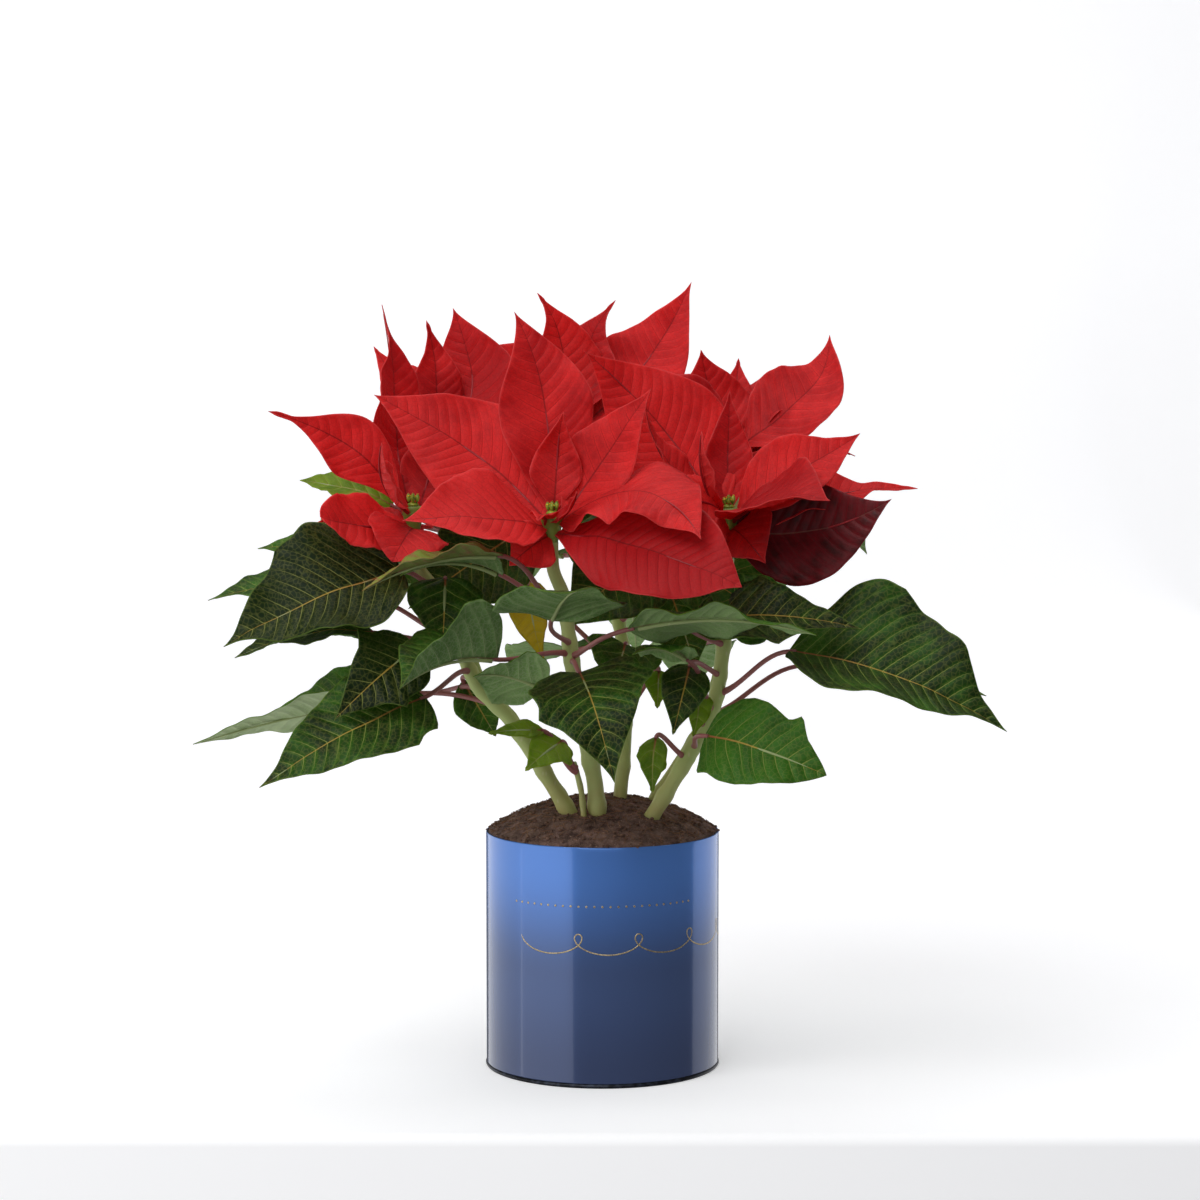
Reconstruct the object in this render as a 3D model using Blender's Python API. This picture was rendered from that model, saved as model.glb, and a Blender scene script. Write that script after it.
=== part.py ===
# Potted poinsettia: a tin cover pot full of peat, seven leafy stems, six blooms of bracts
# and the cluster of small true flowers in the middle of each bloom.
# Sizes and places are in millimetres, with the origin at the centre of the pot's underside;
# finish_node turns them to metres. The front of the plant looks along -Y.

import math
import random

import bmesh
import bpy
from mathutils import Matrix, Vector, noise

MM = 0.001
GAP = 0.3

# Pot: thin lacquered tin, straight sided, with a rolled foot
POT_RADIUS = 62.5
POT_HEIGHT = 127.0
POT_WALL = 0.9
FOOT_HEIGHT = 2.4
FOOT_PROUD = 0.45
FOOT_ROUND = 0.4
POT_SIDES = 48

# Peat: fills the pot and is heaped above the rim, with a plain hole for each stem
MOUND_HEIGHT = 17.0
MOUND_STEEP = 2.4
SOIL_SIDES = 26
SOIL_RINGS = 5
SOIL_GRAIN = 9.0
SOIL_ROUGH = 1.1
ROOT_LEVEL = 92.0
HOLE_PLAY = 0.36

# Blades: every leaf and bract is one thin sheet, with a row of three points at each station
BLADE_THICK = 0.75
STATIONS = (0.0, 0.1, 0.23, 0.38, 0.54, 0.7, 0.86, 1.0)
FEW_STATIONS = (0.0, 0.16, 0.38, 0.64, 1.0)
LONG_BLADE = 50.0
STALK_HALF_WIDTH = 1.3
LOBE_REACH = 0.1
WAVE_WIDTH = 12.0
LEAF_SHAPE = dict(peak=0.32, foot=0.6, taper=1.4)
BRACT_SHAPE = dict(peak=0.44, foot=1.0, taper=1.5)

# Leaf stalk: out of the stem, rising a little, then into the blade along its midrib
PETIOLE_RADIUS = 1.25
PETIOLE_TAPER = 0.85
PETIOLE_STEPS = 3
PETIOLE_SIDES = 4
PETIOLE_INSIDE = 0.03
STEM_SIDES = 8

# Bloom: a short hub on the stem's end that the bracts grow from
HUB_HEIGHT = 15.0
HUB_TOP_RADIUS = 6.2
HUB_FOOT_RADIUS = 3.0
HUB_SIDES = 8
NECK_HEIGHT = 14.0
ROOT_SUNK = 1.9

# Flowers: a round cushion with buds, four round one
CYATHIA_RADIUS = 3.1
CUSHION_HEIGHT = 2.0
BUD_RADIUS = 1.3
BUD_HEIGHT = 4.6
BUD_LEAN = 0.12
OUTER_BUDS = 4

# Stem: points of its middle line from the root upwards, and its radius at the root and at the top
STEMS = {
    "left": dict(radii=(4.5, 3.0), path=[(-13, -24, ROOT_LEVEL), (-14, -25, 134), (-34, -31, 168),
                 (-50, -34, 193), (-65, -34, 207), (-74, -34, 226), (-90, -34, 262)]),
    "centre": dict(radii=(4.9, 3.2), path=[(-2, -31, ROOT_LEVEL), (-2, -31, 134), (-4, -31, 158),
                   (-11, -36, 190), (-16, -42, 222), (-20, -50, 258)]),
    "shoot": dict(radii=(1.9, 1.3), path=[(-9.4, -34, ROOT_LEVEL), (-9.4, -34, 134), (-11, -38, 154),
                  (-15, -42, 169)]),
    "back": dict(radii=(4.1, 3.0), path=[(8, 4, ROOT_LEVEL), (9, 5, 138), (12, 12, 170), (13, 26, 210),
                 (6, 50, 256), (-12, 74, 304)]),
    "right": dict(radii=(4.4, 3.0), path=[(21, -27, ROOT_LEVEL), (23, -28, 133), (40, -31, 162),
                  (52, -32, 183), (60, -33, 201), (64, -34, 230), (65, -34, 264)]),
    "back_left": dict(radii=(3.8, 2.9), path=[(-15, 1, ROOT_LEVEL), (-16, 2, 134), (-35, 10, 164),
                      (-51, 14, 188), (-66, 18, 204), (-75, 22, 228), (-81, 27, 292)]),
    "back_right": dict(radii=(3.8, 2.9), path=[(19, 12, ROOT_LEVEL), (21, 13, 130), (40, 16, 158),
                       (53, 18, 178), (61, 20, 196), (66, 24, 228), (70, 36, 290)]),
}

# Bloom: the middle of the hub's top
HUBS = {
    "left": (-99, -34, 303),
    "centre": (-26, -56, 300),
    "right": (66, -34, 302),
    "back_left": (-84, 30, 338),
    "back": (-16, 78, 344),
    "back_right": (73, 40, 336),
}

# Leaf: at is the height on the stem that its stalk leaves, face is where its upper side looks,
# arch and bend bow the midrib up and sideways, hook and sway turn its tip up and sideways, curl and
# fold raise its edges
LEAVES = {
    "left": [
        dict(at=262, base=(-104, -48, 270), tip=(-193, -85, 234), width=74, face=(0, -.7, .7), arch=6,
             fold=.2, wave=4, lobes=((1, .54, 5), (-1, .54, 4))),
        dict(at=250, base=(-112, -22, 265), tip=(-183, -10, 279), width=46, face=(0, -.5, .87)),
        dict(at=232, base=(-117, -16, 252), tip=(-206, -40, 254), width=60, face=(0, -.25, 1), arch=8,
             lobes=((1, .54, 7), (-1, .54, 7))),
        dict(at=228, base=(-119, -40, 237), tip=(-190, -62, 226), width=62, face=(.1, -.2, 1), arch=6),
        dict(at=216, base=(-91, -75, 207), tip=(-173, -108, 165), width=54, face=(-.2, -.8, .6), arch=8,
             bend=-2, lobes=((-1, .1, 9), (-1, .23, 4))),
        dict(at=198, base=(-100, -14, 202), tip=(-216, -30, 177), width=44, face=(0, .55, .9), arch=3,
             curl=-.2),
        dict(at=206, base=(-98, 8, 200), tip=(-177, 20, 189), width=46, face=(0, -.45, .9), arch=7),
        dict(at=238, base=(-96, -66, 232), tip=(-136, -98, 198), width=40, face=(.3, -.8, .5), arch=8,
             lobes=((-1, .54, 6), (1, .38, 6))),
        dict(at=250, base=(-82, -42, 266), tip=(-83, -60, 228), width=40, face=(.1, -1, .2), arch=5),
        dict(at=210, base=(-74, -16, 209), tip=(-57, -4, 178), width=25, face=(0, -1, .2), arch=4),
    ],
    "centre": [
        dict(at=226, base=(-54, -80, 227), tip=(-101, -124, 217), width=56, face=(.1, .5, .87), arch=6,
             fold=.7, wave=2),
        dict(at=232, base=(-26, -92, 248), tip=(-12, -150, 268), width=70, face=(0, .2, 1), arch=4,
             curl=-.2, fold=.1, wave=3, waves=1.5),
        dict(at=222, base=(-12, -78, 220), tip=(6, -128, 170), width=60, face=(0, -.9, .45), arch=17,
             lobes=((-1, .38, 5), (1, .54, 5))),
        dict(at=225, base=(13, -96, 244), tip=(107, -118, 243), width=50, face=(.1, .36, .92), arch=7,
             curl=-.3, wave=3),
        dict(at=246, base=(-51, -78, 280), tip=(-121, -104, 264), width=30, face=(.1, .1, 1), arch=6,
             curl=.6, wave=2),
        dict(at=250, base=(-52, -52, 268), tip=(-104, -70, 269), width=44, face=(0, .1, 1), arch=7),
        dict(at=214, base=(-30, -66, 210), tip=(-66, -88, 219), width=44, face=(0, .75, .65), arch=5,
             curl=-.3),
    ],
    "shoot": [
        dict(at=166, base=(-21, -48, 181), tip=(-40, -68, 168), width=24, face=(-.2, -1, .3), arch=3,
             lobes=((1, .38, 5), (-1, .38, 5))),
        dict(at=164, base=(-31, -52, 187), tip=(-59, -64, 187), width=12, face=(0, -.8, .7), arch=2),
    ],
    "back": [
        dict(at=206, base=(12, -10, 228), tip=(5, -32, 206), width=42, face=(.1, -1, .3), arch=4),
        dict(at=190, base=(30, -12, 214), tip=(29, -22, 195), width=15, face=(0, -1, .2), arch=2),
        dict(at=214, base=(-40, 12, 258), tip=(-31, -28, 220), width=24, face=(-.3, -1, .2), arch=4,
             wave=2),
        dict(at=250, base=(24, 6, 277), tip=(-20, -22, 238), width=58, face=(0, -1, .25), arch=4),
        dict(at=284, base=(-40, 10, 290), tip=(-104, 0, 246), width=58, face=(0, -1, .2), arch=5),
        dict(at=278, base=(2, 22, 300), tip=(8, 0, 246), width=54, face=(0, -1, .2), arch=4),
        dict(at=262, base=(44, 8, 280), tip=(98, 2, 242), width=56, face=(0, -1, .2), arch=5),
        dict(at=236, base=(34, 4, 260), tip=(50, -12, 214), width=46, face=(.1, -1, .2), arch=4),
        dict(at=292, base=(20, 96, 280), tip=(44, 152, 242), width=62, arch=9),
        dict(at=276, base=(-20, 92, 268), tip=(-58, 150, 238), width=66, arch=10),
        dict(at=246, base=(14, 84, 240), tip=(20, 160, 206), width=64, arch=10),
        dict(at=222, base=(-16, 62, 218), tip=(-50, 118, 190), width=50, arch=8),
    ],
    "right": [
        dict(at=204, base=(97, -55, 229), tip=(206, -88, 191), width=82, face=(.15, -.65, .75), arch=9,
             fold=.4, wave=3, lobes=((-1, .38, 3), (-1, .7, 3))),
        dict(at=192, base=(104, -14, 217), tip=(206, 2, 199), width=54, face=(.1, -.5, .85), arch=7),
        dict(at=176, base=(53, -74, 187), tip=(113, -106, 171), width=48, face=(.2, -.95, .3), arch=8,
             taper=.9, lobes=((-1, .7, 7), (1, .1, 7))),
        dict(at=240, base=(90, -50, 240), tip=(49, -59, 270), width=38, face=(.25, -.95, .2), arch=5),
        dict(at=230, base=(46, -62, 244), tip=(133, -76, 242), width=42, face=(.1, -.7, .75), arch=8,
             lobes=((1, .54, 5), (-1, .38, 4))),
        dict(at=214, base=(45, -62, 222), tip=(36, -78, 188), width=26, face=(0, -1, .2), arch=6),
        dict(at=196, base=(44, -73, 226), tip=(15, -95, 231), width=42, face=(.3, .4, .85), arch=5,
             curl=-.3),
        dict(at=186, base=(50, -48, 208), tip=(47, -52, 184), width=15, face=(.4, -1, .1), arch=3),
        dict(at=170, base=(28, -48, 183), tip=(26, -56, 155), width=16, face=(-.3, -1, .1), arch=2,
             lobes=((1, .38, 2), (-1, .54, 2))),
    ],
    "back_left": [
        dict(at=286, base=(-113, 18, 300), tip=(-163, 18, 314), width=44, face=(0, -.5, .87), arch=3),
        dict(at=284, base=(-112, 44, 290), tip=(-150, 84, 262), width=62, arch=9),
        dict(at=262, base=(-96, 62, 262), tip=(-136, 122, 236), width=62, arch=10),
        dict(at=250, base=(-88, 30, 252), tip=(-164, 52, 240), width=56, arch=9),
    ],
    "back_right": [
        dict(at=290, base=(98, 62, 292), tip=(150, 106, 268), width=62, arch=9),
        dict(at=268, base=(76, 76, 262), tip=(96, 136, 232), width=60, arch=10),
        dict(at=246, base=(96, 52, 236), tip=(168, 78, 208), width=58, arch=9),
        dict(at=224, base=(52, 74, 218), tip=(50, 130, 184), width=50, arch=9),
    ],
}

# Bract: root is the side of the hub that it grows from, in degrees from +X towards +Y, level how
# far below the hub's top
BRACTS = {
    "centre": [
        dict(root=186, level=7, tip=(-101, -95, 299), width=62, face=(0, -.62, .78), arch=4, curl=.35,
             foot=.9),
        dict(root=300, level=10, tip=(69, -128, 268), width=66, face=(-.2, -.7, .7), arch=9, curl=.1,
             wave=2, peak=.6, foot=1.1, taper=1.1),
        dict(root=90, level=4, tip=(-42, -36, 405), width=50, face=(.05, -1, .1), arch=-3, peak=.54,
             bend=5, sway=-4),
        dict(root=340, level=4, tip=(49, -122, 291), width=54, face=(.1, -.6, .8), arch=12, curl=-.2,
             wave=4, bend=-18, foot=.45, peak=.5),
        dict(root=80, level=3.5, tip=(-22, -59, 353), width=28, face=(0, -1, .1), arch=-6, curl=.4,
             foot=1.8, sway=2),
        dict(root=30, level=4, tip=(25, -58, 365), width=40, face=(-.4, -.9, .2), arch=-3, curl=.25,
             foot=1.4),
        dict(root=130, level=5, tip=(-122, -29, 358), width=60, face=(.2, -.95, .2), arch=-6, curl=.2,
             bend=10, foot=1, taper=1.3, sway=4),
        dict(root=250, level=4, tip=(-13, -80, 313), width=13, face=(-1, 0, .3), arch=-3, curl=.5),
        dict(root=215, level=4, tip=(-33, -82, 298), width=15, face=(0, -.5, .8), arch=4, curl=.3),
        dict(root=225, level=11, tip=(-48, -66, 274), width=30, face=(-.1, -1, .2), arch=5),
    ],
    "left": [
        dict(root=195, level=6, tip=(-175, -56, 349), width=34, face=(.1, -1, .1), arch=-4, curl=.3,
             bend=14, twist=15, taper=3, foot=1.8, peak=.5, sway=5),
        dict(root=225, level=9, tip=(-144, -76, 300), width=38, face=(-.1, -.85, .5), arch=-5,
             taper=.6, peak=.5),
        dict(root=255, level=3, tip=(-112, -80, 338), width=28, face=(.8, .1, .3), arch=-7, curl=.6),
        dict(root=290, level=12, tip=(-108, -66, 276), width=44, face=(0, -1, .3), arch=6, curl=.1,
             taper=.8),
        dict(root=110, level=5, tip=(-110, 12, 407), width=46, face=(.55, -.8, .2), arch=-10, curl=.5,
             twist=50, wave=3, taper=1.9, sway=-9),
        dict(root=170, level=11, tip=(-156, -14, 290), width=36, face=(-.1, -.2, 1), arch=6),
        dict(root=125, level=12, tip=(-116, 40, 278), width=36, arch=2),
        dict(root=60, level=6, tip=(-82, 0, 356), width=32, face=(0, -1, .2), arch=-6),
    ],
    "right": [
        dict(root=300, level=6, tip=(115, -93, 309), width=64, face=(.15, -.6, .75), arch=6, curl=.4),
        dict(root=130, level=7, tip=(-10, -22, 384), width=66, face=(.1, -1, .15), arch=-12, curl=-.15,
             bend=8),
        dict(root=10, level=3, tip=(137, -34, 337), width=44, face=(-.2, -.75, .65), arch=5, curl=.4,
             twist=20, sway=-6),
        dict(root=15, level=9, tip=(167, -10, 311), width=38, face=(.1, -.5, .9), arch=7, curl=.3,
             wave=3, taper=1.8),
        dict(root=90, level=3, tip=(67, -20, 363), width=26, face=(.1, -1, .1), arch=-5, curl=.4),
        dict(root=230, level=3, tip=(51, -60, 343), width=19, face=(.8, .3, .5), arch=-6, curl=.4),
        dict(root=180, level=4, tip=(22, -42, 354), width=26, face=(.5, -.4, .7), arch=-8, curl=.4),
        dict(root=200, level=6, tip=(35, -64, 306), width=46, face=(-.3, -.8, .5), arch=8, curl=-.4,
             foot=.6),
        dict(root=275, level=12, tip=(84, -66, 275), width=40, face=(.1, -1, .3), arch=7),
        dict(root=325, level=11, tip=(149, -58, 308), width=58, face=(.1, -.95, .3), arch=-4, curl=.1,
             bend=8, foot=.7),
    ],
    "back_left": [
        dict(root=80, level=4, tip=(-88, 62, 406), width=54, face=(-.2, -1, .1), arch=-8, curl=.25,
             bend=13, sway=6),
        dict(root=120, level=4, tip=(-91, 42, 400), width=30, face=(.4, -.9, .2), arch=-6, curl=.3,
             sway=-5, taper=1.8),
        dict(root=150, level=6, tip=(-127, 57, 382), width=34, face=(.3, -.7, .6), arch=6, hook=6),
        dict(root=200, level=8, tip=(-122, 26, 340), width=42, arch=7),
        dict(root=130, level=9, tip=(-122, 88, 346), width=48, arch=8),
        dict(root=100, level=8, tip=(-112, 112, 357), width=50, arch=9),
        dict(root=70, level=12, tip=(-80, 114, 318), width=42, arch=9),
        dict(root=155, level=13, tip=(-138, 56, 312), width=44, arch=7),
    ],
    "back": [
        dict(root=135, level=4, tip=(-29, 88, 416), width=46, face=(.4, -.9, .1), arch=-6, curl=.3,
             bend=5, taper=1.9, sway=-8),
        dict(root=80, level=4, tip=(0, 106, 412), width=44, face=(-.3, -.9, .25), arch=-6, curl=.3,
             bend=-4, taper=1.9, sway=8),
        dict(root=150, level=6, tip=(-96, 88, 371), width=60, face=(.2, -.9, .3), arch=-4, curl=.2,
             bend=9),
        dict(root=60, level=5, tip=(51, 134, 422), width=58, face=(-.2, -1, .4), arch=-5, curl=.15,
             bend=6, peak=.36),
        dict(root=0, level=9, tip=(58, 106, 344), width=42, arch=8),
        dict(root=50, level=8, tip=(34, 152, 366), width=50, arch=9),
        dict(root=90, level=6, tip=(-14, 160, 388), width=46, arch=8, curl=.3),
        dict(root=130, level=9, tip=(-56, 149, 353), width=50, arch=9),
        dict(root=170, level=10, tip=(-76, 108, 338), width=42, arch=6),
        dict(root=100, level=13, tip=(-4, 168, 330), width=46, arch=10),
    ],
    "back_right": [
        dict(root=60, level=5, tip=(132, 64, 385), width=52, face=(-.35, -.8, .5), arch=5, curl=.25,
             hook=6, wave=2, bend=9, sway=-8),
        dict(root=110, level=4, tip=(54, 56, 384), width=48, face=(.3, -.9, .1), arch=-8, curl=-.3),
        dict(root=150, level=8, tip=(10, 44, 368), width=46, face=(.1, -.8, .5), arch=6, foot=1.3),
        dict(root=20, level=8, tip=(104, 104, 354), width=44, arch=6),
        dict(root=50, level=6, tip=(122, 112, 372), width=50, arch=9),
        dict(root=85, level=9, tip=(76, 136, 339), width=46, arch=9),
        dict(root=5, level=13, tip=(138, 44, 326), width=44, arch=7),
        dict(root=60, level=13, tip=(120, 108, 318), width=42, arch=9),
        dict(root=90, level=5, tip=(76, 86, 379), width=30, face=(.1, -.85, .4), arch=-6, curl=.3),
    ],
}


def new_material(name, colour, roughness, metallic=0.0):
    material = bpy.data.materials.new(name)
    material.use_nodes = True
    shader = material.node_tree.nodes["Principled BSDF"]
    shader.inputs["Base Color"].default_value = (*colour, 1)
    shader.inputs["Roughness"].default_value = roughness
    shader.inputs["Metallic"].default_value = metallic
    material.diffuse_color = (*colour, 1)
    return material


def mesh_object(name, bm):
    """Turns a bmesh into an object of the scene."""
    mesh = bpy.data.meshes.new(name)
    bm.to_mesh(mesh)
    bm.free()
    thing = bpy.data.objects.new(name, mesh)
    bpy.context.scene.collection.objects.link(thing)
    return thing


def finish_node(thing, name, material):
    """Names a finished node, gives it its material, and turns it from millimetres to metres."""
    thing.name = name
    thing.data.name = name
    thing.data.transform(Matrix.Scale(MM, 4))
    thing.data.materials.clear()
    thing.data.materials.append(material)
    thing.data.shade_smooth()
    thing.data.set_sharp_from_angle(angle=math.radians(40))
    return thing


def tube(line, radii, sides):
    """A closed tube along the line, its radius running evenly from the first value to the second."""
    curve = bpy.data.curves.new("tube", "CURVE")
    curve.dimensions = "3D"
    curve.bevel_depth = 1.0
    curve.bevel_resolution = (sides - 4) // 2
    curve.use_fill_caps = True
    spline = curve.splines.new("POLY")
    spline.points.add(len(line) - 1)
    for i, place in enumerate(line):
        spline.points[i].co = (*place, 1)
        spline.points[i].radius = radii[0] + (radii[1] - radii[0]) * i / (len(line) - 1)
    thing = bpy.data.objects.new("tube", curve)
    bm = bmesh.new()
    bm.from_mesh(thing.to_mesh())
    bpy.data.objects.remove(thing)
    bpy.data.curves.remove(curve)
    bmesh.ops.remove_doubles(bm, verts=bm.verts, dist=1e-4)
    bmesh.ops.recalc_face_normals(bm, faces=bm.faces)
    return bm


def spun(profile, sides):
    """A closed solid turned about Z from points of radius and height, up the outside first."""
    bm = bmesh.new()
    verts = [bm.verts.new((radius, 0, height)) for radius, height in profile]
    for start, end in zip(verts, verts[1:]):
        bm.edges.new((start, end))
    bmesh.ops.spin(bm, geom=bm.verts[:] + bm.edges[:], axis=(0, 0, 1), cent=(0, 0, 0),
                   angle=2 * math.pi, steps=sides, use_merge=True)
    bmesh.ops.remove_doubles(bm, verts=bm.verts, dist=0.001)
    bmesh.ops.recalc_face_normals(bm, faces=bm.faces)
    return bm


def half_width(blade, t, side):
    """Half the blade's width at t of its length: rounded at the foot, drawn out at the tip."""
    peak = blade["peak"]
    if t < peak:
        share = math.sin(math.pi / 2 * t / peak) ** blade["foot"]
    else:
        share = max(0.0, 1 - ((t - peak) / (1 - peak)) ** 1.7) ** blade["taper"]
    wide = blade["width"] / 2 * share
    for lobe_side, place, depth in blade["lobes"]:
        if lobe_side == side:
            wide += depth * max(0.0, 1 - abs(t - place) / LOBE_REACH)
    return max(wide, STALK_HALF_WIDTH * min(1.0, (1 - t) * 20))


def spine(blade, t):
    """The point of the midrib at t of the blade's length."""
    bow = 4 * t * (1 - t)
    lift = blade["arch"] * bow + blade["hook"] * max(0.0, (t - 0.7) / 0.3) ** 2
    aside = blade["bend"] * bow + blade["sway"] * max(0.0, (t - 0.6) / 0.4) ** 2
    return blade["base"] + blade["along"] * t + blade["up"] * lift + blade["side"] * aside


def blade_point(blade, t, v):
    """The point at t of the length and v of the half width, from -1 at the left edge to 1."""
    tangent = (spine(blade, t + 0.01) - spine(blade, t - 0.01)).normalized()
    up = (blade["up"] - tangent * blade["up"].dot(tangent)).normalized()
    up.rotate(Matrix.Rotation(math.radians(blade["twist"]) * (t - 0.25), 3, tangent))
    across = tangent.cross(up)
    side = 1 if v > 0 else -1
    wide = half_width(blade, t, side) if t < 1 else 0.0
    angle = blade["curl"] * abs(v) or 1e-6
    out = wide * abs(v) * math.sin(angle) / angle
    rise = wide * abs(v) * (1 - math.cos(angle)) / angle + blade["fold"] * out
    turn = 2 * math.pi * (blade["waves"] * t + blade["phase"] + 0.2 * side)
    ripple = blade["wave"] * abs(v) ** 1.5 * math.sin(turn) * min(1.0, wide / WAVE_WIDTH)
    return spine(blade, t) + across * out * side + up * (rise + ripple)


def blade_mesh(blade):
    """The blade as a thin closed solid."""
    fine = blade["along"].length > LONG_BLADE and not blade["behind"]
    stations = STATIONS if fine else FEW_STATIONS
    rows = len(stations) - 1
    bm = bmesh.new()
    bmesh.ops.create_grid(bm, x_segments=2, y_segments=rows, size=0.5)
    for vert in bm.verts:
        t = stations[round((vert.co.y + 0.5) * rows)]
        vert.co = blade_point(blade, t, round(vert.co.x * 2))
    bmesh.ops.remove_doubles(bm, verts=bm.verts, dist=0.01)
    bmesh.ops.triangulate(bm, faces=bm.faces)
    bm.normal_update()
    for vert in bm.verts:
        vert.co += vert.normal * BLADE_THICK / 2
    bmesh.ops.solidify(bm, geom=bm.faces[:], thickness=BLADE_THICK)
    bmesh.ops.recalc_face_normals(bm, faces=bm.faces)
    return bm


def set_blade(entry, order, shape):
    """Fills in what a blade's entry leaves out, and works out its own axes."""
    blade = dict(width=50, arch=8, bend=0, curl=0.25, fold=0.08, twist=0, wave=1.5, waves=2.5, hook=0,
                 sway=0, lobes=(), face=(0, 0, 1), phase=random.Random(order).random(),
                 behind="face" not in entry)
    blade.update(shape)
    blade.update(entry)
    for key in ("base", "tip", "face"):
        blade[key] = Vector(blade[key])
    blade["along"] = blade["tip"] - blade["base"]
    chord = blade["along"].normalized()
    blade["up"] = (blade["face"] - chord * blade["face"].dot(chord)).normalized()
    blade["side"] = chord.cross(blade["up"])
    return blade


def bract_blade(bloom, entry, order):
    """A bract rooted on its bloom's hub, its foot sunk below the hub's skin."""
    angle = math.radians(entry["root"])
    share = entry["level"] / HUB_HEIGHT
    out = HUB_TOP_RADIUS * (1 - share) + HUB_FOOT_RADIUS * share - ROOT_SUNK
    foot = Vector(HUBS[bloom]) + Vector((math.cos(angle) * out, math.sin(angle) * out, -entry["level"]))
    return set_blade(dict(entry, base=foot), order, BRACT_SHAPE)


def stem_line(name):
    """The stem's middle line, up to the underside of its bloom's hub where it has one."""
    line = [Vector(point) for point in STEMS[name]["path"]]
    if name in HUBS:
        hub = Vector(HUBS[name])
        line.append(hub - Vector((0, 0, HUB_HEIGHT + NECK_HEIGHT)))
        line.append(hub - Vector((0, 0, HUB_HEIGHT + GAP)))
    return line


def stem_place(name, height):
    """The middle of the stem at that height."""
    line = stem_line(name)
    for low, high in zip(line, line[1:]):
        if height <= high.z:
            break
    return low.lerp(high, (height - low.z) / (high.z - low.z))


def petiole_line(blade, start):
    """The leaf stalk's middle line: out of the stem, then in along the blade's midrib."""
    inside = spine(blade, PETIOLE_INSIDE)
    reach = (blade["base"] - start).length
    arrive = (spine(blade, 0.1) - blade["base"]).normalized()
    leave = blade["base"] - start
    leave.z = 0.25 * reach
    first = start + leave.normalized() * reach * 0.36
    second = blade["base"] - arrive * reach * 0.3
    line = []
    for k in range(PETIOLE_STEPS + 1):
        t = k / PETIOLE_STEPS
        s = 1 - t
        line.append(start * s ** 3 + 3 * first * s * s * t + 3 * second * s * t * t + inside * t ** 3)
    return line


def join(first, others):
    """Joins closed pieces to one body with a Boolean union on their collection."""
    body = mesh_object("body", first)
    pieces = bpy.data.collections.new("pieces")
    bpy.context.scene.collection.children.link(pieces)
    for bm in others:
        piece = mesh_object("piece", bm)
        bpy.context.scene.collection.objects.unlink(piece)
        pieces.objects.link(piece)
    union = body.modifiers.new("union", "BOOLEAN")
    union.operation = "UNION"
    union.operand_type = "COLLECTION"
    union.collection = pieces
    union.solver = "MANIFOLD"
    apply_modifiers(body)
    for piece in list(pieces.objects):
        bpy.data.objects.remove(piece)
    bpy.data.collections.remove(pieces)
    tidy_body(body)
    return body


def apply_modifiers(thing):
    bpy.context.view_layer.update()
    graph = bpy.context.evaluated_depsgraph_get()
    made = bpy.data.meshes.new_from_object(thing.evaluated_get(graph))
    thing.modifiers.clear()
    thing.data = made


def tidy_body(thing):
    """Merges what the Boolean left a hair apart, and keeps only the largest loose part."""
    bm = bmesh.new()
    bm.from_mesh(thing.data)
    bmesh.ops.remove_doubles(bm, verts=bm.verts, dist=0.002)
    bmesh.ops.dissolve_degenerate(bm, dist=0.001, edges=bm.edges)
    bmesh.ops.triangulate(bm, faces=bm.faces)
    parts = sorted(loose_parts(bm), key=len)
    for scrap in parts[:-1]:
        bmesh.ops.delete(bm, geom=scrap, context="FACES")
    bm.to_mesh(thing.data)
    bm.free()


def loose_parts(bm):
    """The faces of each part that no edge joins to another."""
    seen = set()
    parts = []
    for face in bm.faces:
        if face in seen:
            continue
        seen.add(face)
        part = [face]
        for here in part:
            for edge in here.edges:
                for near in edge.link_faces:
                    if near not in seen:
                        seen.add(near)
                        part.append(near)
        parts.append(part)
    return parts


def build_pot():
    """The tin: a flat floor, a rolled foot and a thin straight wall, turned in one piece."""
    inner = POT_RADIUS - POT_WALL
    foot = POT_RADIUS + FOOT_PROUD
    profile = [(0, 0), (foot - FOOT_ROUND, 0), (foot, FOOT_ROUND), (foot, FOOT_HEIGHT - FOOT_ROUND),
               (POT_RADIUS, FOOT_HEIGHT), (POT_RADIUS, POT_HEIGHT), (inner, POT_HEIGHT),
               (inner, POT_WALL), (0, POT_WALL)]
    thing = mesh_object("pot", spun(profile, POT_SIDES))
    finish_node(thing, "pot", new_material("blue_lacquered_tin", (0.07, 0.16, 0.42), 0.25, 0.3))


def mound(x, y, inner):
    """Height of the peat's surface above the rim at a place in the pot."""
    out = min(1.0, math.hypot(x, y) / inner)
    grain = noise.noise(Vector((x, y, 3.0)) / SOIL_GRAIN) * SOIL_ROUGH * (1 - out ** 4)
    return MOUND_HEIGHT * (1 - out ** MOUND_STEEP) + grain + GAP


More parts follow.
